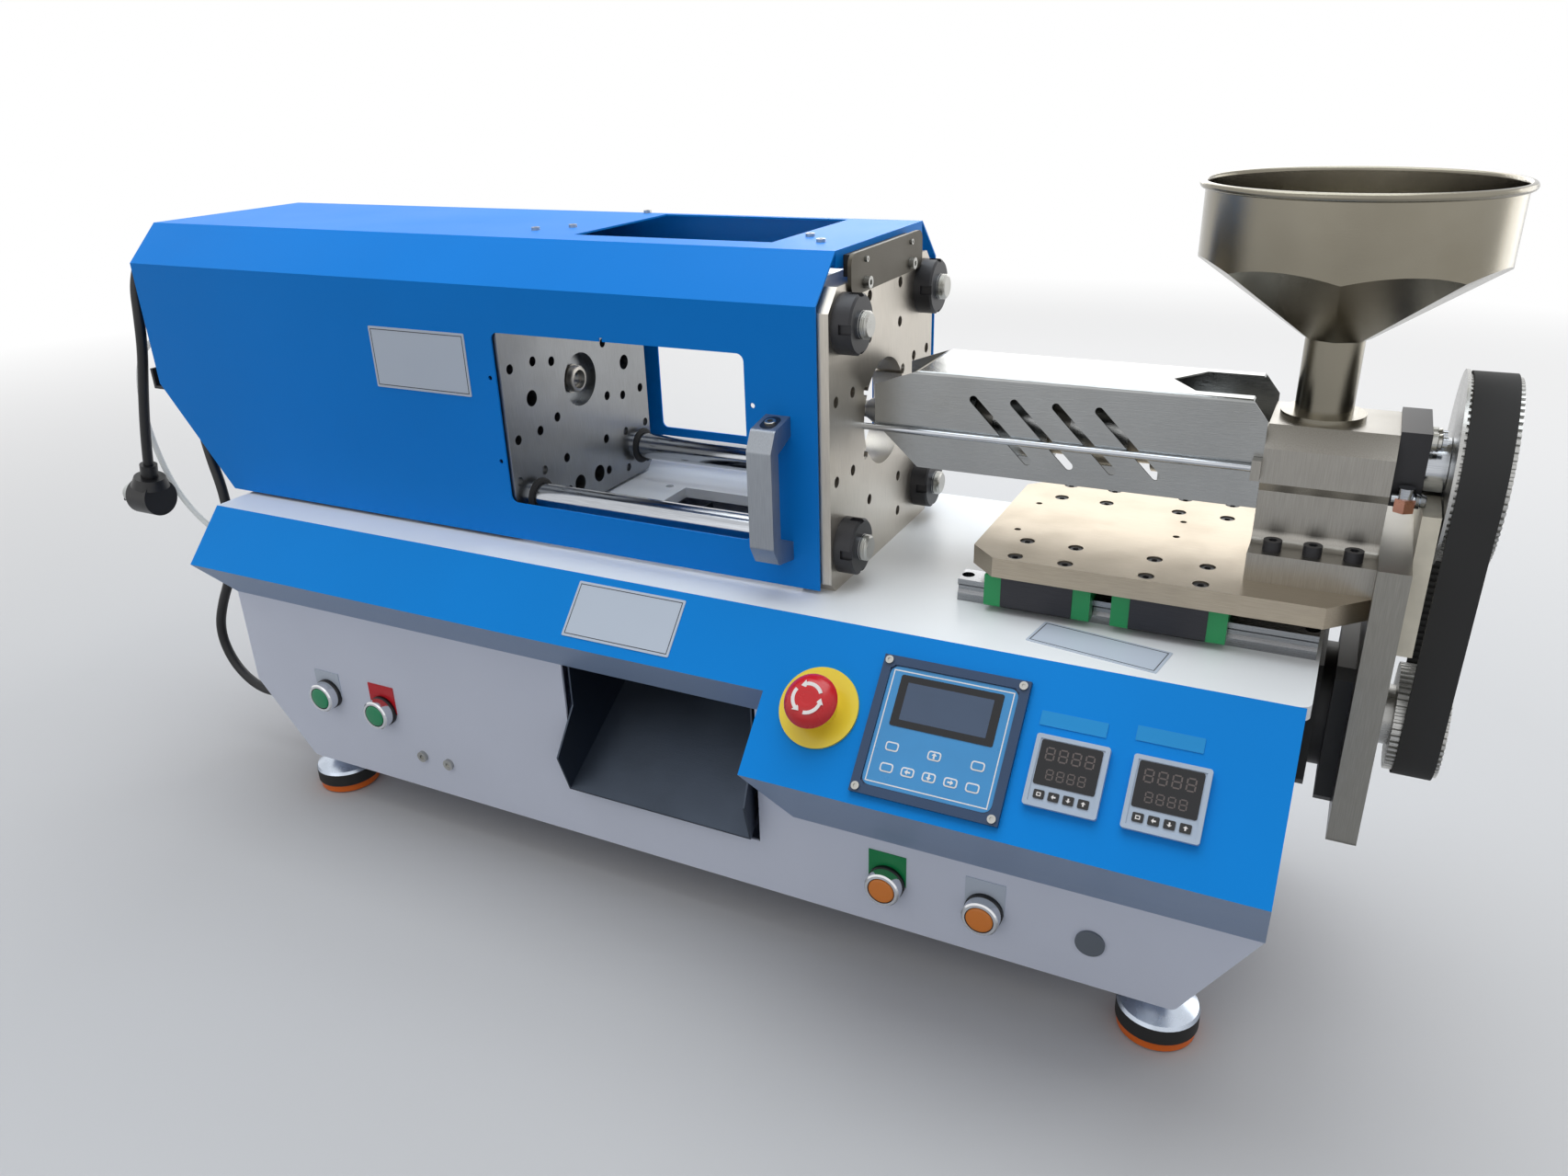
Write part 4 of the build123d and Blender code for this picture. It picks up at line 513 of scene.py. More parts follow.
class Shop:
    """All finishes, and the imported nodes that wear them."""

    white_shell = PowderCoat("cabinet_white_powder_coat", srgb(220, 226, 242), 0.42, slot="white_shell")
    # The deck wears the cabinet's white paint, made lighter here as painted light on the top that the
    # lamps fall on.
    deck_white = PowderCoat("deck_white_powder_coat", srgb(240, 243, 246), 0.36, slot="white_shell")
    blue_hood = PowderCoat(
        "hood_blue_powder_coat", srgb(4, 130, 224), 0.42, peel=0.10, gloss=0.13, slot="blue_shell"
    )
    # The console's underside colour is the return's pale paint, darkened as painted shade under the slope.
    blue_console = PowderCoat(
        "console_blue_powder_coat", srgb(4, 136, 224), 0.42, peel=0.10, gloss=0.13,
        underside=srgb(140, 160, 190), slot="blue_console",
    )
    platen = GroundMetal(
        "ground_platen_steel", srgb(204, 198, 188), 0.34, Grain.UPRIGHT, slot="plated_steel"
    )
    # A darker copy of the platen steel for the moving platen and its flanges inside the hood: painted
    # shade of the closed hood. Its stains are the metal's own.
    platen_painted_shade = GroundMetal(
        "oiled_platen_steel", srgb(150, 152, 154), 0.34, Grain.UPRIGHT, stains=0.26, slot="plated_steel"
    )
    plate = GroundMetal(
        "milled_carriage_plate", srgb(184, 173, 156), 0.40, Grain.ALONG, stains=0.2, slot="plated_steel"
    )
    drive_plate = GroundMetal(
        "milled_drive_plate", srgb(150, 148, 142), 0.34, Grain.UPRIGHT, slot="cast_block"
    )
    feed = GroundMetal("milled_feed_block", srgb(166, 163, 157), 0.34, Grain.UPRIGHT, slot="cast_block")
    # Carriage block steel: its colour is darkened as painted shade, standing in for the shadow on the
    # blocks' sides.
    block_steel_painted_shade = GroundMetal("dark_block_steel", srgb(66, 66, 70), 0.42, Grain.ALONG, slot="plated_steel")
    bracket = GroundMetal("brown_bracket_steel", srgb(86, 82, 74), 0.44, Grain.ALONG, slot="plated_steel")
    rail = GroundMetal(
        "ground_rail", srgb(150, 152, 156), 0.25, Grain.ALONG, lines=0.15, slot="plated_steel"
    )
    chrome = GroundMetal(
        "hard_chrome", srgb(188, 192, 198), 0.14, Grain.ALONG, lines=0.05, stains=0.05, slot="tie_chrome"
    )
    cup = GroundMetal(
        "plated_foot_cup", srgb(206, 216, 230), 0.24, lines=0.05, stains=0.08, slot="tie_chrome"
    )
    zinc = GroundMetal("zinc_screw", srgb(190, 190, 186), 0.30, lines=0.1, stains=0.2, slot="plated_steel")
    bezel = GroundMetal(
        "bezel_chrome", srgb(208, 210, 214), 0.16, lines=0.05, stains=0.05, slot="bezel_chrome"
    )
    turned = GroundMetal(
        "turned_pulley", srgb(190, 190, 188), 0.28, Grain.ALONG, lines=0.2, stains=0.1, slot="pulley_metal"
    )
    alloy = GroundMetal(
        "handle_alloy", srgb(158, 163, 170), 0.42, Grain.UPRIGHT, stains=0.1, slot="grey_plastic"
    )
    pale_plate = GroundMetal("pale_spacer_plate", srgb(205, 200, 186), 0.45, slot="pale_plate")
    copper = GroundMetal("copper_nut", srgb(206, 150, 128), 0.26, lines=0.1, slot="brass")
    sheet = PolishedSheet("polished_stainless", srgb(162, 164, 164), 0.20, slot="polished_sheet")
    spun = PolishedSheet(
        "spun_stainless", srgb(138, 133, 120), 0.16, Grain.ACROSS, smears=0.4, slot="polished_sheet"
    )
    dark_sheet = PolishedSheet("folded_chute_steel", srgb(74, 82, 94), 0.40, slot="dark_sheet")
    black = BlackOxide("black_oxide", srgb(30, 30, 32), 0.42, slot="black_oxide")
    motor = PowderCoat("motor_black", srgb(20, 20, 22), 0.45, peel=0.3, slot="motor_black")
    grey_plastic = Moulding("plug_grey_moulding", srgb(104, 112, 122), 0.40, slot="grey_plastic")
    pale_frame = Moulding("controller_frame", srgb(176, 190, 208), 0.34, slot="pale_plate")
    black_plastic = Moulding("black_moulding", srgb(22, 22, 24), 0.38, slot="black_plastic")
    navy = Moulding("navy_frame", srgb(34, 62, 96), 0.36, slot="black_plastic")
    green_cap = Moulding("green_end_cap", srgb(22, 148, 84), 0.30, slot="green_cap")
    orange_ring = Moulding("orange_foot_ring", srgb(238, 112, 30), 0.40, slot="orange_ring")
    rubber = Moulding("black_rubber", srgb(26, 26, 28), 0.62, grain=0.3, slot="black_rubber")
    lead_skin = Moulding("lead_sheath", srgb(24, 24, 26), 0.48, grain=0.1, slot="black_rubber")
    red_knob = Moulding("red_mushroom", srgb(204, 24, 34), 0.26, grain=0.04, slot="red_knob")
    yellow_disc = Moulding("yellow_disc", srgb(228, 230, 70), 0.36, grain=0.04, slot="yellow_disc")
    white_mark = Moulding("white_mark", srgb(236, 232, 230), 0.4, grain=0.02, slot="pale_plate")
    line_mark = Moulding("thin_border_line", srgb(60, 66, 76), 0.4, grain=0.02, slot="black_plastic")
    pale_pin = Moulding("pin_cover", srgb(206, 208, 206), 0.3, grain=0.05, slot="pale_plate")
    membrane = Moulding("blue_membrane", srgb(62, 146, 206), 0.30, grain=0.03, slot="blue_console")
    glass = Moulding("dark_window", srgb(14, 16, 22), 0.10, grain=0.01, slot="black_plastic")
    screen = Moulding("display_screen", srgb(66, 84, 110), 0.14, grain=0.01, slot="black_plastic")
    digit = Moulding("digit_segment", srgb(98, 88, 86), 0.30, grain=0.02, slot="grey_plastic")
    green_lens = Lens("green_lens", srgb(4, 54, 34), 0.22, slot="green_lens")
    orange_lens = Lens("orange_lens", srgb(214, 92, 22), 0.20, slot="orange_lens")
    belt = ToothedRubber("belt_rubber", srgb(15, 16, 20), 0.55, slot="belt_rubber")
    clear = ClearTube("clear_air_tube", srgb(226, 230, 226), 0.1, slot="clear_hose")
    blank_plate = PowderCoat("blank_plate", srgb(196, 206, 220), 0.34, peel=0.03, slot="pale_plate")
    red_plate = PowderCoat("red_plate", srgb(206, 34, 46), 0.34, peel=0.03, slot="red_knob")
    green_plate = PowderCoat("green_plate", srgb(20, 136, 78), 0.34, peel=0.03, slot="green_cap")
    cyan_plate = PowderCoat("cyan_plate", srgb(28, 146, 214), 0.34, peel=0.03, slot="blue_console")

    wearers = (
        (white_shell, "cabinet"),
        (deck_white, "deck"),
        (blue_console, "console"),
        (blue_hood, "hood"),
        (cup, "foot_cups"),
        (rubber, "foot_pads"),
        (orange_ring, "foot_rings"),
        (dark_sheet, "chute"),
        (platen, "fixed_platen rear_platen thrust_bridge"),
        # The moving platen and flanges wear the platen steel darkened as painted shade.
        (platen_painted_shade, "moving_platen bush_flanges"),
        (chrome, "tie_bars ejector_rod piston_rod stop_rod cooling_fittings screw"),
        (black, "tie_bar_nuts lead_hooks carriage_screws bearing_housing"),
        (turned, "clamp_cylinder large_pulley small_pulley"),
        (bracket, "hood_brackets"),
        (alloy, "grab_handle"),
        (rail, "rails"),
        (navy, "display_unit"),
        (pale_frame, "controllers"),
        (yellow_disc, "estop_base"),
        (red_knob, "estop_knob"),
        (bezel, "button_bezels"),
        (black_plastic, "estop_stem button_power button_heat button_start button_clamp"),
        (black_plastic, "cable_gland mains_plug air_fittings"),
        (grey_plastic, "blanking_plug"),
        (zinc, "small_screws"),
        (lead_skin, "mains_lead"),
        (clear, "air_hose"),
        (plate, "carriage_plate"),
        (block_steel_painted_shade, "carriage_blocks"),
        (green_cap, "block_caps"),
        (feed, "feed_block barrel nozzle"),
        (sheet, "heater_bands barrel_guard"),
        (spun, "hopper hopper_neck"),
        (drive_plate, "motor_plate"),
        (motor, "motor"),
        (pale_plate, "pulley_spacer"),
        (belt, "belt"),
    )

    @classmethod
    def dress_nodes(cls, nodes: dict) -> None:
        """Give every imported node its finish.

        Args:
            nodes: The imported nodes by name.
        """
        worn = {name: finish for finish, names in cls.wearers for name in names.split()}
        for name, node in nodes.items():
            material = worn[name].material()
            if not node.material_slots:
                node.data.materials.append(material)
            for place in node.material_slots:
                place.material = material
            LOG.info("dressed %s with %s", name, material.name)


@dataclass(frozen=True)
class Datum:
    """The machine's own datum, found from the boxes of the platen and the deck."""

    origin: Vector

    @classmethod
    def from_frame(cls) -> "Datum":
        """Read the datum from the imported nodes."""
        deck_low, deck_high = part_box("deck")
        platen_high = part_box("fixed_platen")[1]
        return cls(Vector((platen_high.x, deck_low.y, deck_high.z)))

    def at(self, x: float, y: float, z: float) -> Vector:
        """A place in the part frame, in metres, from millimetres at the datum."""
        return self.origin + Vector((x, y, z)) * MM

    def seat(self, x: float, y: float, z: float, right: Point, up: Point) -> Matrix:
        """A frame to draw on: first axis right, second up, third out of the surface.

        Args:
            x: Millimetres from the platen's face.
            y: Millimetres back from the deck's front.
            z: Millimetres above the deck.
            right: The first axis.
            up: The second axis.

        Returns:
            The matrix from the drawing, in metres, to the part frame.
        """
        first = Vector(right).normalized()
        second = Vector(up).normalized()
        third = first.cross(second)
        turn = Matrix((first, second, third)).transposed().to_4x4()
        return Matrix.Translation(self.at(x, y, z)) @ turn

    def front(self, x: float, z: float, y: float = 0.0) -> Matrix:
        """A seat on a surface that faces the front."""
        return self.seat(x, y, z, (1, 0, 0), (0, 0, 1))

    def side(self, x: float, y: float, z: float) -> Matrix:
        """A seat on a surface that looks along x, towards the injection side."""
        return self.seat(x, y, z, (0, 1, 0), (0, 0, 1))

    def slope(self, x: float, down: float, proud: float = 0.0) -> Matrix:
        """A seat on the console's slope.

        Args:
            x: Millimetres from the platen's face.
            down: Millimetres down the slope from its upper edge.
            proud: Millimetres off the slope.

        Returns:
            The seat's matrix.
        """
        cos, sin = math.cos(SLOPE_ANGLE), math.sin(SLOPE_ANGLE)
        y = -down * cos - proud * sin
        z = -down * sin + proud * cos
        return self.seat(x, y, z, (1, 0, 0), (0, cos, sin))


class Maker:
    """Turns drawn outlines into placed mesh pieces."""

    @staticmethod
    def piece(
        name: str, mesh: bpy.types.Mesh, finish: Finish, body: Body = Body.FRAME, smooth: bool = False
    ) -> bpy.types.Object:
        """Make an object that rides on a body, with its place in its mesh.

        Args:
            name: The piece's name.
            mesh: Its mesh, in the part frame.
            finish: Its finish.
            body: The body that it rides on.
            smooth: Whether its faces shade smoothly.

        Returns:
            The object.
        """
        mesh.materials.clear()
        mesh.materials.append(finish.material())
        made = bpy.data.objects.new(name, mesh)
        bpy.context.scene.collection.objects.link(made)
        for polygon in mesh.polygons:
            polygon.use_smooth = smooth
        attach(made, body.value)
        LOG.info("made %s on %s", name, body.value)
        return made

    @staticmethod
    def slab(
        seat: Matrix, width: float, height: float, thick: float, corner: float = 0.0, steps: int = 5
    ) -> bpy.types.Mesh:
        """A flat slab with rounded corners that stands on a seat.

        Args:
            seat: The seat's matrix.
            width: Millimetres along the seat's first axis.
            height: Millimetres along its second.
            thick: Millimetres out of the surface.
            corner: The corner radius in millimetres.
            steps: Points round each corner.

        Returns:
            The mesh.
        """
        outline = []
        for quarter in range(4):
            middle_x = (width / 2 - corner) * (1 if quarter in (0, 3) else -1)
            middle_y = (height / 2 - corner) * (1 if quarter in (0, 1) else -1)
            for step in range(steps if corner else 1):
                share = step / max(1, steps - 1) if corner else 0.0
                turn = math.radians(90 * (quarter + share))
                outline.append((middle_x + corner * math.cos(turn), middle_y + corner * math.sin(turn)))
        return Maker.prism(seat, outline, thick)

    @staticmethod
    def prism(seat: Matrix, outline: Outline, thick: float) -> bpy.types.Mesh:
        """Raise an outline off a seat.

        Args:
            seat: The seat's matrix.
            outline: Corner points in millimetres, anticlockwise.
            thick: Millimetres out of the surface.

        Returns:
            The mesh.
        """
        shape = bmesh.new()
        low = [shape.verts.new(seat @ Vector((x * MM, y * MM, 0.0))) for x, y in outline]
        high = [shape.verts.new(seat @ Vector((x * MM, y * MM, thick * MM))) for x, y in outline]
        shape.faces.new(high)
        shape.faces.new(low[::-1])
        Maker.skin(shape, (low, high))
        return Maker.finished(shape)

    @staticmethod
    def border(seat: Matrix, width: float, height: float, line: float, thick: float) -> bpy.types.Mesh:
        """A thin rectangular line, as printed round a plate.

        Args:
            seat: The seat's matrix, at the rectangle's middle.
            width: The rectangle's width in millimetres.
            height: Its height in millimetres.
            line: The line's width in millimetres.
            thick: Millimetres out of the surface.

        Returns:
            The mesh.
        """
        sides = []
        for side in (-1, 1):
            across = seat @ Matrix.Translation((side * (width - line) / 2 * MM, 0, 0))
            along = seat @ Matrix.Translation((0, side * (height - line) / 2 * MM, 0))
            sides.append(Maker.slab(across, line, height, thick))
            sides.append(Maker.slab(along, width - 2 * line, line, thick))
        return Maker.joined(sides)

    @staticmethod
    def arrow(seat: Matrix, length: float, width: float, turn: float, thick: float) -> bpy.types.Mesh:
        """A plain arrow that points along the seat's second axis, turned by an angle.

        Args:
            seat: The seat's matrix, at the arrow's middle.
            length: Its length in millimetres.
            width: Its head's width in millimetres.
            turn: Degrees anticlockwise.
            thick: Millimetres out of the surface.

        Returns:
            The mesh.
        """
        half, stem, neck = length / 2, width * 0.16, length * 0.02
        outline = [
            (stem, -half), (stem, neck), (width / 2, neck), (0.0, half),
            (-width / 2, neck), (-stem, neck), (-stem, -half),
        ]
        return Maker.prism(seat @ Matrix.Rotation(math.radians(turn), 4, "Z"), outline, thick)

    @staticmethod
    def turned(seat: Matrix, outline: Outline, steps: int = 48) -> bpy.types.Mesh:
        """Turn an outline of radius and height about the seat's third axis.

        Args:
            seat: The seat's matrix.
            outline: Radius and height pairs in millimetres.
            steps: Facets round the axis.

        Returns:
            The mesh.
        """
        shape = bmesh.new()
        rings = []
        for radius, height in outline:
            turns = [2 * math.pi * index / steps for index in range(steps if radius > 0 else 1)]
            spots = [Vector((radius * math.cos(turn), radius * math.sin(turn), height)) for turn in turns]
            rings.append([shape.verts.new(seat @ (spot * MM)) for spot in spots])
        Maker.skin(shape, rings)
        return Maker.finished(shape)

    @staticmethod
    def skin(shape: bmesh.types.BMesh, rings: Sequence[Sequence[bmesh.types.BMVert]]) -> None:
        """Join each ring of vertices to the next; a ring of one vertex is a pole.

        Args:
            shape: The bmesh that holds the rings.
            rings: The rings in order.
        """
        for first, second in zip(rings, rings[1:]):
            steps = max(len(first), len(second))
            for index in range(steps):
                after = (index + 1) % steps
                corners = [
                    first[index % len(first)], first[after % len(first)],
                    second[after % len(second)], second[index % len(second)],
                ]
                shape.faces.new(list(dict.fromkeys(corners)))

    @staticmethod
    def finished(shape: bmesh.types.BMesh) -> bpy.types.Mesh:
        """Close the seams, point the faces outwards and turn a bmesh into a mesh.

        Args:
            shape: The bmesh, which is freed.

        Returns:
            The mesh.
        """
        bmesh.ops.remove_doubles(shape, verts=shape.verts, dist=0.0001 * MM)
        bmesh.ops.recalc_face_normals(shape, faces=shape.faces)
        mesh = bpy.data.meshes.new("shape")
        shape.to_mesh(mesh)
        shape.free()
        return mesh

    @staticmethod
    def joined(meshes: Iterable[bpy.types.Mesh]) -> bpy.types.Mesh:
        """Join several meshes into one.

        Args:
            meshes: The meshes.

        Returns:
            The joined mesh.
        """
        shape = bmesh.new()
        for mesh in meshes:
            shape.from_mesh(mesh)
        made = bpy.data.meshes.new("joined")
        shape.to_mesh(made)
        shape.free()
        return made


class Row:
    """A Geometry Nodes tree that repeats one template along a row or a grid."""

    SOCKETS = (
        ("Template", "NodeSocketObject"),
        ("Across", "NodeSocketInt"),
        ("Down", "NodeSocketInt"),
        ("Step across", "NodeSocketVector"),
        ("Step down", "NodeSocketVector"),
        ("Finish", "NodeSocketMaterial"),
    )
    NODES = {
        "source": "NodeGroupInput",
        "sink": "NodeGroupOutput",
        "template": "GeometryNodeObjectInfo",
        "line_across": "GeometryNodeMeshLine",
        "line_down": "GeometryNodeMeshLine",
        "copies_across": "GeometryNodeInstanceOnPoints",
        "copies_down": "GeometryNodeInstanceOnPoints",
        "one_row": "GeometryNodeRealizeInstances",
        "all_rows": "GeometryNodeRealizeInstances",
        "paint": "GeometryNodeSetMaterial",
    }
    LINKS = (
        ("source", "Template", "template", "Object"),
        ("source", "Across", "line_across", "Count"),
        ("source", "Step across", "line_across", "Offset"),
        ("source", "Down", "line_down", "Count"),
        ("source", "Step down", "line_down", "Offset"),
        ("line_across", 0, "copies_across", "Points"),
        ("template", "Geometry", "copies_across", "Instance"),
        ("copies_across", 0, "one_row", 0),
        ("line_down", 0, "copies_down", "Points"),
        ("one_row", 0, "copies_down", "Instance"),
        ("copies_down", 0, "all_rows", 0),
        ("all_rows", 0, "paint", "Geometry"),
        ("source", "Finish", "paint", "Material"),
        ("paint", 0, "sink", 0),
    )

    def __init__(self) -> None:
        """Build the tree with its named inputs."""
        self.tree = bpy.data.node_groups.new("row_of_parts", "GeometryNodeTree")
        face = self.tree.interface
        self.inputs = {
            name: face.new_socket(name=name, in_out="INPUT", socket_type=kind).identifier
            for name, kind in self.SOCKETS
        }
        face.new_socket(name="Geometry", in_out="OUTPUT", socket_type="NodeSocketGeometry")
        made = {name: self.tree.nodes.new(kind) for name, kind in self.NODES.items()}
        for start, output, end, socket in self.LINKS:
            self.tree.links.new(made[start].outputs[output], made[end].inputs[socket])

    def of(
        self,
        template: bpy.types.Mesh,
        finish: Finish,
        across: Tuple[int, Vector],
        down: Tuple[int, Vector] = (1, Vector((0, 0, 0))),
    ) -> bpy.types.Mesh:
        """Repeat a template.

        Args:
            template: The first copy's mesh, in the part frame.
            finish: The finish of all copies.
            across: How many along the row, and the step in metres.
            down: How many rows, and their step in metres.

        Returns:
            One plain mesh of all copies.
        """
        pattern = bpy.data.objects.new("template", template)
        holder = bpy.data.objects.new("holder", bpy.data.meshes.new("holder"))
        for thing in (pattern, holder):
            bpy.context.scene.collection.objects.link(thing)
        modifier = holder.modifiers.new("row", "NODES")
        modifier.node_group = self.tree
        modifier[self.inputs["Template"]] = pattern
        modifier[self.inputs["Finish"]] = finish.material()
        for name, (count, step) in (("across", across), ("down", down)):
            modifier[self.inputs[name.capitalize()]] = count
            modifier[self.inputs[f"Step {name}"]] = step[:]
        graph = bpy.context.evaluated_depsgraph_get()
        mesh = bpy.data.meshes.new_from_object(holder.evaluated_get(graph), depsgraph=graph)
        for thing in (pattern, holder):
            bpy.data.objects.remove(thing)
        return mesh


@dataclass
class Plates:
    """The blank plates on the hood, the slope, the deck and beside the buttons."""

    datum: Datum
    thick: float = 0.6
    corner: float = 1.0
    line: float = 0.7
    line_inset: float = 4.0
    line_thick: float = 0.1
    deck_turn: float = -9.0
    cyan_height: float = 10.0
    cyan_places: Tuple[Tuple[str, float, float, float], ...] = (
        ("left", 205.0, 39.6, 44.0),
        ("right", 266.0, 36.6, 42.0),
    )
    legend_half: float = 15.8
    legend_hole: float = 15.3
    legend_shoulder: float = -2.0
    legend_thick: float = 0.8
    legend_steps: int = 14
    legends: Tuple[Tuple[str, float, float, float, Finish], ...] = (
        ("power", -531.0, -184.0, 24.0, Shop.blank_plate),
        ("heat", -460.0, -187.0, 27.0, Shop.red_plate),
        ("start", 64.0, -222.0, 27.0, Shop.green_plate),
        ("clamp", 144.0, -223.0, 27.0, Shop.blank_plate),
    )

    def build(self) -> None:
        """Make all plates."""
        turn = math.radians(self.deck_turn)
        right, up = (math.cos(turn), math.sin(turn), 0), (-math.sin(turn), math.cos(turn), 0)
        self._lined("hood_plate", self.datum.front(-380.5, 152.5, 37.0), 105, 53)
        self._lined("slope_plate", self.datum.slope(-153.5, 30), 100, 47)
        self._lined("deck_plate", self.datum.seat(205.0, 33.0, 0.0, right, up), 93, 34)
        for name, x, down, width in self.cyan_places:
            seat = self.datum.slope(x, down)
            base = Maker.slab(seat, width, self.cyan_height, self.thick, self.corner / 2)
            Maker.piece(f"cyan_plate_{name}", base, Shop.cyan_plate)
        for name, x, z, top, finish in self.legends:
            self._legend(f"{name}_plate", self.datum.front(x, z), top, finish)

    def _lined(self, name: str, seat: Matrix, width: float, height: float) -> None:
        """Make one blank plate, with a thin line printed round it.

        Args:
            name: The piece's name.
            seat: Where it lies.
            width: Its width in millimetres.
            height: Its height in millimetres.
        """
        base = Maker.slab(seat, width, height, self.thick, self.corner)
        Maker.piece(name, base, Shop.blank_plate)
        raised = seat @ Matrix.Translation((0, 0, self.thick * MM))
        inset = self.line_inset
        frame = Maker.border(raised, width - inset, height - inset, self.line, self.line_thick)
        Maker.piece(f"{name}_line", frame, Shop.line_mark)

    def _legend(self, name: str, seat: Matrix, top: float, finish: Finish) -> None:
        """Make a legend plate whose lower part fits round a pushbutton.

        Args:
            name: The piece's name.
            seat: The button's middle, on the cabinet's front.
            top: How far the plate's top edge is above the button's middle.
            finish: Its finish.
        """
        half, shoulder = self.legend_half, self.legend_shoulder
        outline = [(half, top), (-half, top), (-half, shoulder)]
        for index in range(self.legend_steps + 1):
            turn = math.pi - math.pi * index / self.legend_steps
            outline.append((self.legend_hole * math.cos(turn), self.legend_hole * math.sin(turn)))
        outline.append((half, shoulder))
        Maker.piece(name, Maker.prism(seat, outline, self.legend_thick), finish)


@dataclass
class DisplayFace:
    """The membrane, screen and keys set into the display unit's frame."""

    datum: Datum
    row: Row
    centre_x: float = 119.8
    centre_down: float = 68.0
    width: float = 92.0
    height: float = 86.0
    face: float = 2.5
    film: float = 0.3
    line_inset: float = 5.0
    window_down: float = 48.8
    window_size: Tuple[float, float, float, float] = (74.0, 37.0, 0.4, 1.5)
    screen_size: Tuple[float, float, float, float] = (62.0, 27.0, 0.15, 0.5)
    key_size: Tuple[float, float, float, float] = (9.5, 6.5, 0.25, 2.0)
    pad_size: Tuple[float, float, float, float] = (7.5, 4.5, 0.3, 1.2)
    pad_lift: float = 0.5
    arrow_lift: float = 0.8
    key_pitch: float = 15.3
    high_row: float = 81.8
    low_row: float = 96.8

    def build(self) -> None:
        """Make the membrane, screen, glass and keys."""
        base = Maker.slab(self._middle(self.centre_down, 0.0), self.width, self.height, self.film, 6)
        Maker.piece("display_membrane", base, Shop.membrane)
        inset = self.line_inset
        on_film = self._middle(self.centre_down, self.film)
        line = Maker.border(on_film, self.width - inset, self.height - inset, 0.8, 0.12)
        Maker.piece("display_line", line, Shop.white_mark)
        window = Maker.slab(self._middle(self.window_down, self.film), *self.window_size)
        Maker.piece("display_window", window, Shop.glass)
        on_glass = self.film + self.window_size[2]
        screen = Maker.slab(self._middle(self.window_down, on_glass), *self.screen_size)
        Maker.piece("display_screen", screen, Shop.screen)
        self._keys("display_keys_low", self.low_row, 5, self.key_pitch)
        self._keys("display_keys_high", self.high_row, 3, 2 * self.key_pitch)
        self._arrows()

    def _middle(self, down: float, lift: float) -> Matrix:
        """A seat on the display's middle line, lifted off the frame's face."""
        return self.datum.slope(self.centre_x, down, self.face + lift)

    def _arrows(self) -> None:
        """Make the plain arrows on four of the keys."""
        arrows = []
        for keys_on, down, turn in (
            (0, self.high_row, 0.0), (-1, self.low_row, 90.0),
            (0, self.low_row, 180.0), (1, self.low_row, 270.0),
        ):
            x = self.centre_x + keys_on * self.key_pitch
            seat = self.datum.slope(x, down, self.face + self.arrow_lift)
            arrows.append(Maker.arrow(seat, 4.2, 3.8, turn, 0.12))
        Maker.piece("display_arrows", Maker.joined(arrows), Shop.white_mark)

    def _keys(self, name: str, down: float, count: int, pitch: float) -> None:
        """Make one row of keys, each a pale ring round a pad.

        Args:
            name: The start of the pieces' names.
            down: How far down the slope the row lies.
            count: How many keys.
            pitch: Their spacing in millimetres.
        """
        step = (count, Vector((pitch * MM, 0, 0)))
        first = self.centre_x - 2 * self.key_pitch
        for part, size, lift, finish in (
            ("rings", self.key_size, self.film, Shop.white_mark),
            ("pads", self.pad_size, self.pad_lift, Shop.membrane),
        ):
            key = Maker.slab(self.datum.slope(first, down, self.face + lift), *size)
            Maker.piece(f"{name}_{part}", self.row.of(key, finish, step), finish)


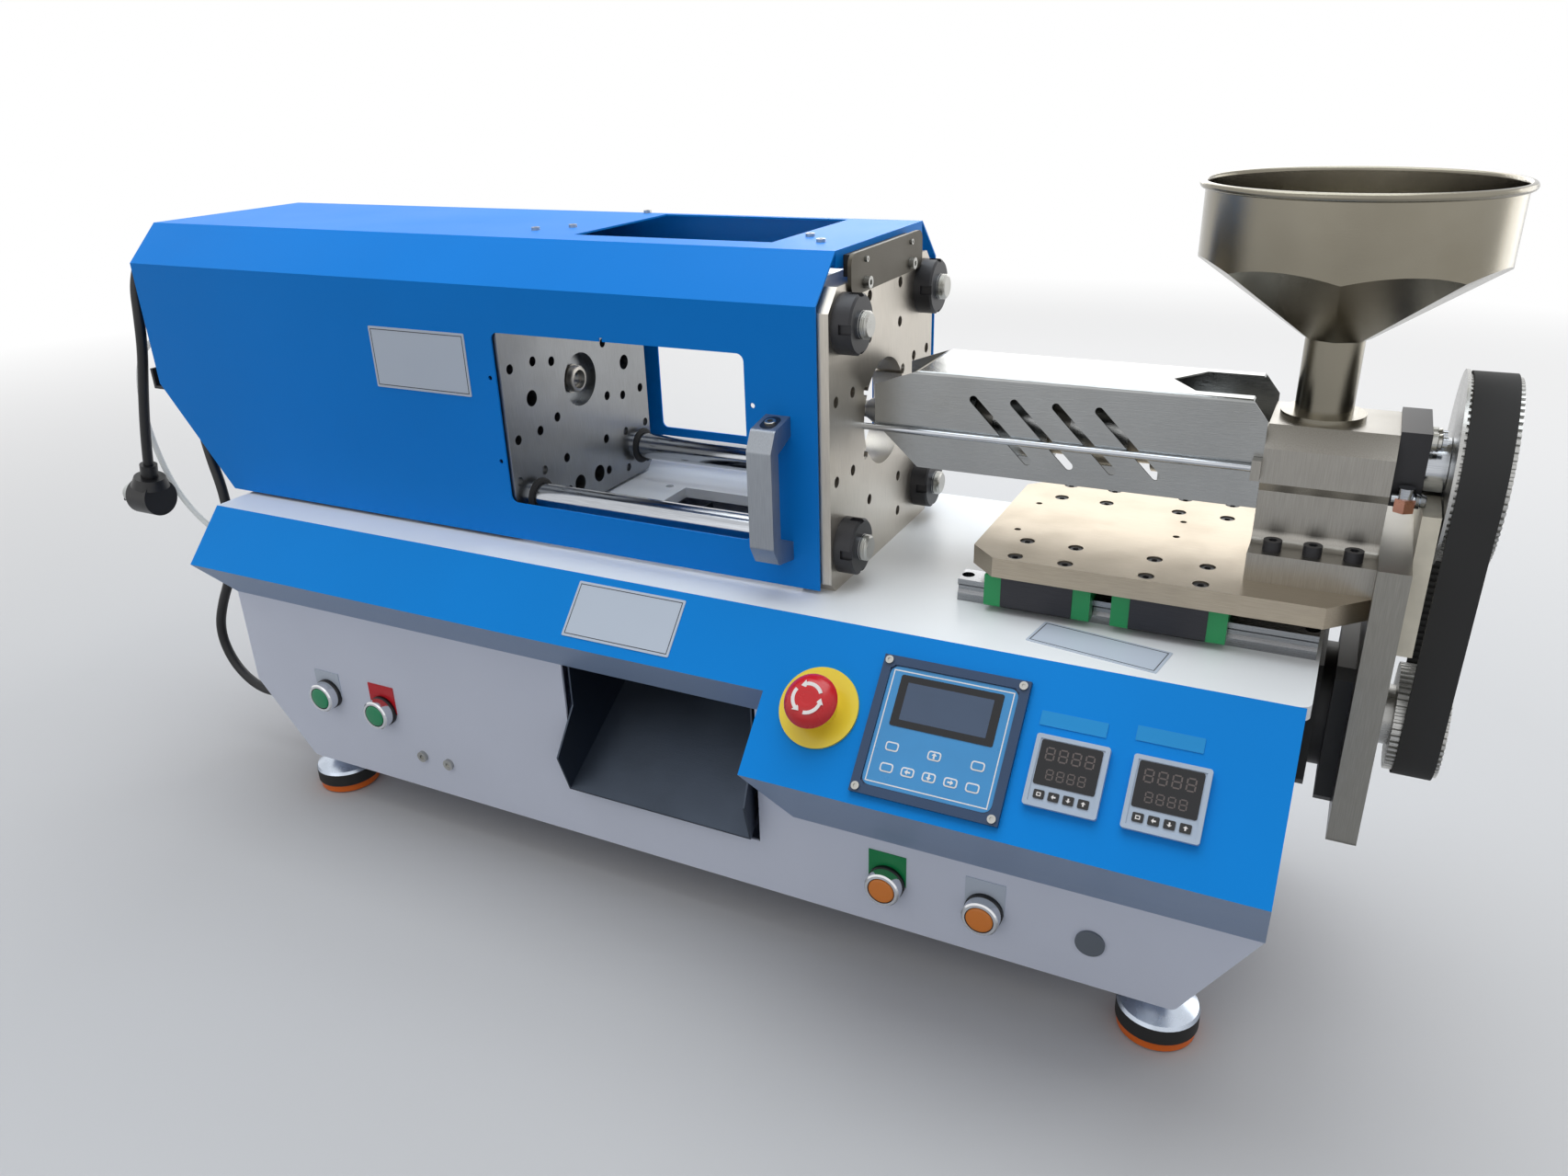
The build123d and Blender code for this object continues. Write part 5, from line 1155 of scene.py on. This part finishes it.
@dataclass
class ControllerFace:
    """The window, plain digits and keys of one temperature controller."""

    datum: Datum
    row: Row
    name: str
    left: float
    top: float = 51.0
    size: float = 48.0
    face: float = 4.2
    window_down: float = 18.5
    window_size: Tuple[float, float, float, float] = (40.0, 30.0, 0.5, 1.5)
    key_down: float = 39.8
    key_first: float = -14.4
    key_pitch: float = 9.6
    key_size: Tuple[float, float, float, float] = (7.0, 5.8, 0.8, 0.8)
    mark_turns: Tuple[float, float, float] = (90.0, 180.0, 0.0)
    mark_thick: float = 0.1
    bar_thick: float = 0.12
    segments: Tuple[Tuple[float, float, bool], ...] = (
        (0.0, 1.0, True),
        (-0.5, 0.5, False),
        (0.5, 0.5, False),
        (0.0, 0.0, True),
        (-0.5, -0.5, False),
        (0.5, -0.5, False),
        (0.0, -1.0, True),
    )

    def build(self) -> None:
        """Make the window, digits, keys and their marks."""
        middle = self.left + self.size / 2
        seat = self.datum.slope(middle, self.top + self.window_down, self.face)
        Maker.piece(f"{self.name}_window", Maker.slab(seat, *self.window_size), Shop.glass)
        self._digits(f"{self.name}_high_digits", self.top + 12.5, 8.0, 5.2)
        self._digits(f"{self.name}_low_digits", self.top + 26.0, 6.4, 4.2)
        first, down = middle + self.key_first, self.top + self.key_down
        key = Maker.slab(self.datum.slope(first, down, self.face), *self.key_size)
        step = (1 + len(self.mark_turns), Vector((self.key_pitch * MM, 0, 0)))
        Maker.piece(f"{self.name}_keys", self.row.of(key, Shop.black_plastic, step), Shop.black_plastic)
        top = self.face + self.key_size[2]
        marks = [Maker.border(self.datum.slope(first, down, top), 3.0, 2.6, 0.6, self.mark_thick)]
        for place, turn in enumerate(self.mark_turns, 1):
            on_key = self.datum.slope(first + self.key_pitch * place, down, top)
            marks.append(Maker.arrow(on_key, 3.0, 3.2, turn, self.mark_thick))
        Maker.piece(f"{self.name}_marks", Maker.joined(marks), Shop.white_mark)

    def _digits(self, name: str, down: float, height: float, width: float) -> None:
        """Make a row of unlit figure-eight digits.

        Args:
            name: The piece's name.
            down: How far down the slope the row lies.
            height: A digit's height in millimetres.
            width: A digit's width in millimetres.
        """
        pitch = width * 1.65
        first = self.left + self.size / 2 - pitch * 1.5
        on_window = self.face + self.window_size[2]
        bars = []
        for across, up, level in self.segments:
            seat = self.datum.slope(first + across * width, down - up * height / 2, on_window)
            size = (width * 0.78, height * 0.12) if level else (height * 0.12, height * 0.40)
            bars.append(Maker.slab(seat, *size, self.bar_thick))
        mesh = self.row.of(Maker.joined(bars), Shop.digit, (4, Vector((pitch * MM, 0, 0))))
        Maker.piece(name, mesh, Shop.digit)


@dataclass
class Buttons:
    """The lenses in the pushbuttons and the black rings behind their bezels."""

    datum: Datum
    lens_y: float = -13.2
    dome: Outline = (
        (0.0, 0.0), (10.6, 0.0), (10.8, 0.5), (10.2, 1.2), (8.5, 1.55), (5.0, 1.8), (0.0, 1.9),
    )
    ring: Outline = ((14.3, 0.0), (15.2, 0.0), (15.2, 4.6), (14.3, 4.6), (14.3, 0.0))
    places: Tuple[Tuple[Body, float, float, Finish], ...] = (
        (Body.POWER, -531.0, -184.0, Shop.green_lens),
        (Body.HEAT, -460.0, -187.0, Shop.green_lens),
        (Body.START, 64.0, -222.0, Shop.orange_lens),
        (Body.CLOSE, 144.0, -223.0, Shop.orange_lens),
    )

    def build(self) -> None:
        """Make a lens and a ring for each button."""
        for body, x, z, finish in self.places:
            lens = Maker.turned(self.datum.front(x, z, self.lens_y), self.dome)
            Maker.piece(f"{body.value}_lens", lens, finish, body, smooth=True)
            ring = Maker.turned(self.datum.front(x, z), self.ring)
            Maker.piece(f"{body.value}_gasket", ring, Shop.black_plastic, smooth=True)


@dataclass
class StopMarks:
    """The white turning arrows on the emergency stop's mushroom."""

    datum: Datum
    x: float = 28.0
    down: float = 66.0
    top: float = 26.6
    radius: float = 10.5
    width: float = 2.6
    sweep: float = 78.0
    head_over: float = 1.6
    head_sweep: float = 22.0
    thick: float = 0.5
    steps: int = 10
    starts: Tuple[float, float, float] = (30.0, 150.0, 270.0)

    def build(self) -> None:
        """Make three curved arrows."""
        arrows = [self._arrow(start) for start in self.starts]
        Maker.piece("turning_arrows", Maker.joined(arrows), Shop.white_mark, Body.KNOB)

    def _arrow(self, start: float) -> bpy.types.Mesh:
        """One curved arrow.

        Args:
            start: Where it starts, in degrees.

        Returns:
            Its mesh.
        """

        def spot(radius: float, turn: float) -> Tuple[float, float]:
            """A point by its radius and its angle in degrees."""
            return (radius * math.cos(math.radians(turn)), radius * math.sin(math.radians(turn)))

        inner, outer = self.radius - self.width / 2, self.radius + self.width / 2
        turns = [start + self.sweep * index / self.steps for index in range(self.steps + 1)]
        rim = [spot(outer, turn) for turn in turns]
        rim.append(spot(outer + self.head_over, turns[-1]))
        rim.append(spot(self.radius, turns[-1] + self.head_sweep))
        rim.append(spot(inner - self.head_over, turns[-1]))
        rim += [spot(inner, turn) for turn in reversed(turns)]
        return Maker.prism(self.datum.slope(self.x, self.down, self.top), rim, self.thick)


@dataclass
class ClampTrim:
    """Wiper rings on the tie bars, the ejector's screwed insert and the threaded bar ends."""

    datum: Datum
    row: Row
    bars_y: Tuple[float, float] = (65.0, 229.0)
    bars_z: Tuple[float, float] = (33.0, 203.0)
    flange_face: float = -291.0
    nut_face: float = 15.0
    wiper: Outline = ((12.75, 0.0), (17.2, 0.0), (17.2, 1.4), (15.4, 2.6), (12.75, 2.9), (12.75, 0.0))
    thread_crest: float = 10.2
    thread_root: float = 9.4
    thread_pitch: float = 1.5
    thread_end: float = 5.0
    insert_place: Place = (-306.8, 147.0, 118.0)

    def build(self) -> None:
        """Make the rings, the bar ends and the insert."""
        along = (2, Vector((0, (self.bars_y[1] - self.bars_y[0]) * MM, 0)))
        up = (2, Vector((0, 0, (self.bars_z[1] - self.bars_z[0]) * MM)))
        first_bar = (self.bars_y[0], self.bars_z[0])
        wiper = Maker.turned(self.datum.side(self.flange_face, *first_bar), self.wiper, 40)
        end = Maker.turned(self.datum.side(self.nut_face, *first_bar), self._thread(), 32)
        for name, mesh, finish, body in (
            ("bar_wipers", wiper, Shop.rubber, Body.CLAMP),
            ("bar_ends", end, Shop.zinc, Body.FRAME),
        ):
            Maker.piece(name, self.row.of(mesh, finish, along, up), finish, body)
        insert = Maker.turned(self.datum.side(*self.insert_place), self._socket())
        Maker.piece("ejector_insert", insert, Shop.feed, Body.CLAMP)

    def _thread(self) -> list:
        """The outline of the threaded end that stands out of a nut."""
        crest, root, height = self.thread_crest, self.thread_root, 0.1
        outline = [(0.0, height)]
        while height < self.thread_end:
            outline += [(root, height), (crest, height + self.thread_pitch / 2)]
            height += self.thread_pitch
        return outline + [(root, height), (root - 1.2, height + 0.9), (0.0, height + 0.9)]

    @staticmethod
    def _socket() -> list:
        """The outline of the insert in the ejector's recess, threaded outside."""
        outline = [(6.6, 0.0), (13.0, 0.0), (13.0, 2.0), (12.0, 2.0)]
        height = 2.0
        while height < 7.4:
            outline += [(11.0, height + 0.3), (12.0, height + 0.9)]
            height += 1.2
        return outline + [(11.0, height + 0.4), (8.4, height + 0.9), (8.4, 4.0), (6.6, 4.0), (6.6, 0.0)]


@dataclass
class SmallTrim:
    """The handle's recesses, drawn as flat black ovals of painted shade, and screws, the copper nut, the
    barb and the ribbed sleeves.
    """

    datum: Datum
    handle_x: float = -40.0
    handle_ends: Tuple[Tuple[str, float, float], ...] = (("top", 1.0, 139.0), ("low", -1.0, 26.0))
    slant_y: float = 24.5
    slant: Tuple[float, float] = (25.0, 4.8)
    oval_radius: float = 6.4
    oval_stretch: float = 3.2
    oval_steps: int = 28
    screw: Outline = ((2.2, 0.3), (4.4, 0.3), (4.4, 1.3), (3.9, 1.7), (2.2, 1.7), (2.2, 0.3))
    nut_place: Place = (376.0, 107.5, 98.0)
    nut_radius: float = 6.8
    nut_height: float = 9.0
    barb_place: Place = (381.6, 107.5, 106.0)
    barb: Outline = (
        (0.0, 0.0), (3.4, 0.0), (4.6, 0.6), (3.4, 3.2), (4.6, 3.4), (3.4, 6.2), (3.0, 6.6), (0.0, 6.6),
    )
    sleeve_places: Tuple[Place, ...] = ((385.2, 121.0, 142.0), (385.2, 135.0, 142.0))
    sleeve: Outline = (
        (4.05, 0.0), (5.8, 0.0), (5.8, 3.0), (4.8, 3.6), (5.4, 5.4), (4.05, 6.0), (4.05, 0.0),
    )

    def build(self) -> None:
        """Make every small piece."""
        for name, turn, edge in self.handle_ends:
            self._recess(name, turn, edge)
        seat = self.datum.seat(*self.nut_place, (1, 0, 0), (0, 1, 0))
        turns = [math.radians(60 * corner + 30) for corner in range(6)]
        hexagon = [(self.nut_radius * math.cos(turn), self.nut_radius * math.sin(turn)) for turn in turns]
        nut = Maker.prism(seat, hexagon, self.nut_height)
        Maker.piece("cooling_nut", nut, Shop.copper, Body.CARRIAGE)
        barb = Maker.turned(self.datum.side(*self.barb_place), self.barb, 24)
        Maker.piece("cooling_barb", barb, Shop.chrome, Body.CARRIAGE)
        sleeves = [Maker.turned(self.datum.side(*place), self.sleeve, 24) for place in self.sleeve_places]
        Maker.piece("cooling_sleeves", Maker.joined(sleeves), Shop.zinc, Body.CARRIAGE)

    def _recess(self, name: str, turn: float, edge: float) -> None:
        """Make the oval recess, a flat black oval of painted shade, and the socket screw on one slanted
        end of the handle.

        Args:
            name: Which end.
            turn: One for the top, minus one for the foot.
            edge: The height of the handle's end in millimetres.
        """
        run, rise = self.slant
        up = Vector((0.0, run, turn * rise)).normalized()
        out = Vector((0.0, -rise, turn * run)).normalized()
        place = Vector((self.handle_x, self.slant_y, edge - turn * rise / 2)) + out * 0.05
        seat = self.datum.seat(*place, up.cross(out), up)
        oval = []
        for index in range(self.oval_steps):
            around = 2 * math.pi * index / self.oval_steps
            shift = self.oval_stretch if math.sin(around) > 0 else -self.oval_stretch
            oval.append((self.oval_radius * math.cos(around), shift + self.oval_radius * math.sin(around)))
        # The recess is a thin black oval on the handle's end: painted shade in place of the hollow.
        Maker.piece(f"handle_recess_{name}", Maker.prism(seat, oval, 0.25), Shop.black_plastic)
        Maker.piece(f"handle_screw_{name}", Maker.turned(seat, self.screw, 24), Shop.zinc)


@dataclass
class Cords:
    """The mains lead and the air hose, along the routes that the solids follow."""

    datum: Datum
    lead_radius: float = 5.0
    hose_radius: float = 3.0
    boot_length: float = 38.0
    boot_radii: Tuple[float, float] = (8.6, 5.3)
    boot_rib: float = 0.5
    boot_rings: int = 28
    boot_sides: int = 24
    cover_inset: float = 19.0
    cover: Outline = ((0.0, 0.0), (11.5, 0.0), (11.8, 3.0), (11.0, 16.5), (9.6, 19.4), (0.0, 19.4))
    lead_route: Tuple[Place, ...] = (
        (-636.5, 45.0, -218.6), (-656.3, 45.0, -233.5), (-681.5, 45.0, -239.5),
        (-707.0, 45.0, -234.0), (-727.5, 45.0, -218.0), (-739.0, 45.0, -194.5),
        (-739.0, 45.0, -168.5), (-725.0, 45.0, -139.0), (-706.0, 45.0, -110.0),
        (-693.0, 46.0, -78.0), (-687.0, 48.0, -43.0), (-690.0, 51.0, -8.0),
        (-704.0, 56.0, 25.0), (-720.0, 66.0, 57.0), (-734.0, 86.0, 85.0),
        (-739.0, 112.0, 108.0), (-740.0, 139.0, 131.0), (-739.0, 161.0, 160.0),
        (-737.0, 163.0, 199.0), (-737.0, 141.0, 232.0), (-737.0, 103.0, 246.0),
        (-737.0, 65.0, 233.0), (-737.0, 44.0, 202.0), (-738.0, 40.0, 166.0),
        (-745.0, 40.0, 134.0), (-756.0, 40.0, 103.0), (-767.0, 40.0, 70.0),
        (-775.0, 39.0, 38.0), (-781.0, 39.0, 12.0),
    )
    hose_route: Tuple[Place, ...] = (
        (-648.0, 74.0, -92.0), (-664.0, 74.0, -93.0), (-688.0, 72.0, -88.0),
        (-714.0, 67.0, -77.0), (-741.0, 63.0, -61.0), (-767.0, 62.0, -40.0),
        (-787.0, 62.5, -12.0), (-797.0, 62.5, 20.0), (-799.0, 61.0, 54.0),
        (-794.0, 59.5, 86.0), (-782.0, 58.5, 115.0), (-762.0, 58.0, 135.0),
        (-741.0, 58.0, 145.0),
    )

    def build(self) -> None:
        """Make both cords, hide the imported ones, and add the boot and the pin cover."""
        lead = self._curve("lead", self.lead_route, self.lead_radius, Shop.lead_skin)
        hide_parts("mains_lead")
        boot = self._boot(lead)
        cover = self._pin_cover()
        self.datum.at(*self.lead_route[0])
        hose = self._curve("hose", self.hose_route, self.hose_radius, Shop.clear)
        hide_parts("air_hose")
        self.datum.at(*self.hose_route[0])

    def _boot(self, lead: bpy.types.Object) -> bpy.types.Object:
        """Make the ribbed strain relief that follows the lead out of its gland.

        Args:
            lead: The lead's curve.

        Returns:
            The boot.
        """
        bare = lead.data.copy()
        bare.bevel_depth = 0.0
        carrier = bpy.data.objects.new("bare_line", bare)
        bpy.context.scene.collection.objects.link(carrier)
        line = bpy.data.meshes.new_from_object(
            carrier.evaluated_get(bpy.context.evaluated_depsgraph_get())
        )
        spots = [vertex.co.copy() for vertex in line.vertices]
        bpy.data.objects.remove(carrier)
        wide, narrow = self.boot_radii
        turns = [2 * math.pi * corner / self.boot_sides for corner in range(self.boot_sides)]
        shape = bmesh.new()
        rings = []
        for index in range(self.boot_rings + 1):
            share = index / self.boot_rings
            middle, way = self._walked(spots, self.boot_length * MM * share)
            rib = self.boot_rib if index % 4 < 2 else 0.0
            radius = (wide + (narrow - wide) * share + rib) * MM
            side = way.cross(Vector((0, 1, 0))).normalized()
            over = side.cross(way)
            ring = [middle + (side * math.cos(turn) + over * math.sin(turn)) * radius for turn in turns]
            rings.append([shape.verts.new(spot) for spot in ring])
        Maker.skin(shape, rings)
        shape.faces.new(rings[0][::-1])
        shape.faces.new(rings[-1])
        return Maker.piece("lead_boot", Maker.finished(shape), Shop.rubber)

    @staticmethod
    def _walked(spots: Sequence[Vector], along: float) -> Tuple[Vector, Vector]:
        """Walk along a line from its start.

        Args:
            spots: The line's points in order.
            along: The length to walk in metres.

        Returns:
            The place reached and the unit direction there.
        """
        for before, after in zip(spots, spots[1:]):
            length = (after - before).length
            if length >= along:
                break
            along -= length
        return before.lerp(after, min(1.0, along / length)), (after - before).normalized()

    def _pin_cover(self) -> bpy.types.Object:
        """Make the pale cover over the plug's pins.

        Returns:
            The cover.
        """
        low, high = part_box("mains_plug")
        inset = self.cover_inset * MM
        middle = Vector((low.x + inset, (low.y + high.y) / 2, low.z + inset))
        turn = Matrix(((0, 0, -1), (0, 1, 0), (1, 0, 0))).to_4x4()
        mesh = Maker.turned(Matrix.Translation(middle) @ turn, self.cover, 36)
        return Maker.piece("pin_cover", mesh, Shop.pale_pin)

    def _curve(
        self, name: str, route: Sequence[Place], radius: float, finish: Finish
    ) -> bpy.types.Object:
        """Make one smooth round cord.

        Args:
            name: The piece's name.
            route: Its points in millimetres.
            radius: Its radius in millimetres.
            finish: Its finish.

        Returns:
            The curve object.
        """
        line = bpy.data.curves.new(name, "CURVE")
        line.dimensions = "3D"
        line.bevel_depth = radius * MM
        line.bevel_resolution = 6
        line.resolution_u = 10
        line.use_fill_caps = True
        spline = line.splines.new("NURBS")
        spline.points.add(len(route) - 1)
        for point, place in zip(spline.points, route):
            point.co = (*self.datum.at(*place), 1.0)
        spline.order_u = 3
        spline.use_endpoint_u = True
        line.materials.append(finish.material())
        made = bpy.data.objects.new(name, line)
        bpy.context.scene.collection.objects.link(made)
        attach(made, Body.FRAME.value)
        LOG.info("made cord %s", name)
        return made


@dataclass(frozen=True)
class Lamp:
    """One soft square lamp: where it hangs, what it faces, its side, power and colour."""

    name: str
    place: Place
    target: Place
    size: float
    power: float
    colour: Colour = (1.0, 0.99, 0.96)

    def hang(self) -> None:
        """Hang the lamp."""
        light = bpy.data.lights.new(self.name, "AREA")
        light.shape = "SQUARE"
        light.size = self.size
        light.energy = self.power
        light.color = self.colour
        lamp = bpy.data.objects.new(self.name, light)
        lamp.location = self.place
        way = Vector(self.target) - Vector(self.place)
        lamp.rotation_euler = way.to_track_quat("-Z", "Y").to_euler()
        bpy.context.scene.collection.objects.link(lamp)


@dataclass
class Studio:
    """The pale floor, the soft lamps, the world and the camera."""

    datum: Datum
    place: Place = (338.006, -700.358, 371.009)
    heading: float = 27.1009
    dip: float = 24.1084
    roll: float = -1.7509
    lens: float = 26.67
    sensor: float = 36.0
    nearest: float = 0.02
    floor_size: float = 30.0
    floor_lit: Colour = (0.42, 0.42, 0.43)
    floor_seen: Colour = (0.56, 0.56, 0.57)
    fade_start: float = 0.9
    fade_rate: float = 0.42
    sky_low: float = 0.20
    sky_high: float = 0.84
    lamps: Tuple[Lamp, ...] = (
        Lamp("overhead", (0.0, 0.4, 2.6), (0.0, 0.1, 0.2), 2.4, 42.0, (0.88, 0.95, 1.0)),
        Lamp("back_softbox", (-0.2, 2.1, 1.35), (0.0, 0.0, 0.4), 1.6, 15.0),
        Lamp("right_softbox", (2.0, 1.8, 0.7), (0.1, 0.0, 0.3), 1.4, 10.0),
        Lamp("front_fill", (-0.6, -2.6, 1.4), (0.0, 0.0, 0.25), 1.8, 4.0, (1.0, 1.0, 1.0)),
    )

    def build(self) -> None:
        """Make camera, floor and light."""
        self._camera()
        self._floor()
        self._world()
        for lamp in self.lamps:
            lamp.hang()

    def _camera(self) -> None:
        """Stand the camera where the photograph was taken from."""
        view = bpy.data.cameras.new("view")
        view.lens = self.lens
        view.sensor_width = self.sensor
        view.clip_start = self.nearest
        camera = bpy.data.objects.new("view", view)
        aim = Matrix.Rotation(math.radians(self.heading), 4, "Z")
        aim = aim @ Matrix.Rotation(math.radians(90.0 - self.dip), 4, "X")
        aim = aim @ Matrix.Rotation(math.radians(self.roll), 4, "Z")
        camera.matrix_world = Matrix.Translation(self.datum.at(*self.place)) @ aim
        bpy.context.scene.collection.objects.link(camera)
        bpy.context.scene.camera = camera

    def _floor(self) -> None:
        """Make the floor under the feet, which fades to white far away."""
        shape = bmesh.new()
        bmesh.ops.create_grid(shape, x_segments=1, y_segments=1, size=self.floor_size)
        mesh = bpy.data.meshes.new("floor")
        shape.to_mesh(mesh)
        shape.free()
        graph = Graph("pale_floor")
        seen = graph.looked_at()
        away = graph.add("ShaderNodeVectorMath", {"operation": "LENGTH"}, {0: graph.places()}, "Value")
        graph.give(
            Base_Color=graph.mix(seen, self.floor_lit, self.floor_seen),
            Roughness=0.9,
            Specular_IOR_Level=0.1,
        )
        glow = graph.add("ShaderNodeEmission", {}, {"Color": (1.0, 1.0, 1.0), "Strength": 1.0})
        far = ((away - self.fade_start) * self.fade_rate).clamped() * seen
        plain = Term(graph, graph.shader.outputs[0])
        surface = graph.add("ShaderNodeMixShader", {}, {0: far.clamped(), 1: plain, 2: glow})
        graph.feed(graph.tree.nodes["Material Output"].inputs["Surface"], surface)
        mesh.materials.append(graph.material)
        floor = bpy.data.objects.new("floor", mesh)
        bpy.context.scene.collection.objects.link(floor)

    def _world(self) -> None:
        """Light the world more from above, and show it white to the camera, metal and glass."""
        sky = Sky("studio")
        way = sky.add("ShaderNodeTexCoord", {}, {}, "Generated")
        up = sky.add("ShaderNodeSeparateXYZ", {}, {0: way}, "Z")
        values = {"Value": up, "To Min": self.sky_low, "To Max": self.sky_high}
        rising = sky.add("ShaderNodeMapRange", {}, values)
        level = sky.add("ShaderNodeMix", {}, {0: sky.looked_at(), 2: rising, 3: 1.0})
        sky.give(Color=(1.0, 1.0, 1.0), Strength=level)


def main() -> None:
    """Dress the frame and build every added piece."""
    logging.basicConfig(level=logging.INFO, format="%(name)s: %(message)s")
    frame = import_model()
    datum = Datum.from_frame()
    bpy.context.scene.view_settings.view_transform = "Standard"
    Studio(datum).build()
    Cords(datum).build()
    Shop.dress_nodes(frame["nodes"])
    row = Row()
    Plates(datum).build()
    DisplayFace(datum, row).build()
    ControllerFace(datum, row, "left_controller", 184.25).build()
    ControllerFace(datum, row, "right_controller", 247.1).build()
    Buttons(datum).build()
    StopMarks(datum).build()
    ClampTrim(datum, row).build()
    SmallTrim(datum).build()


if __name__ == "__main__":
    main()
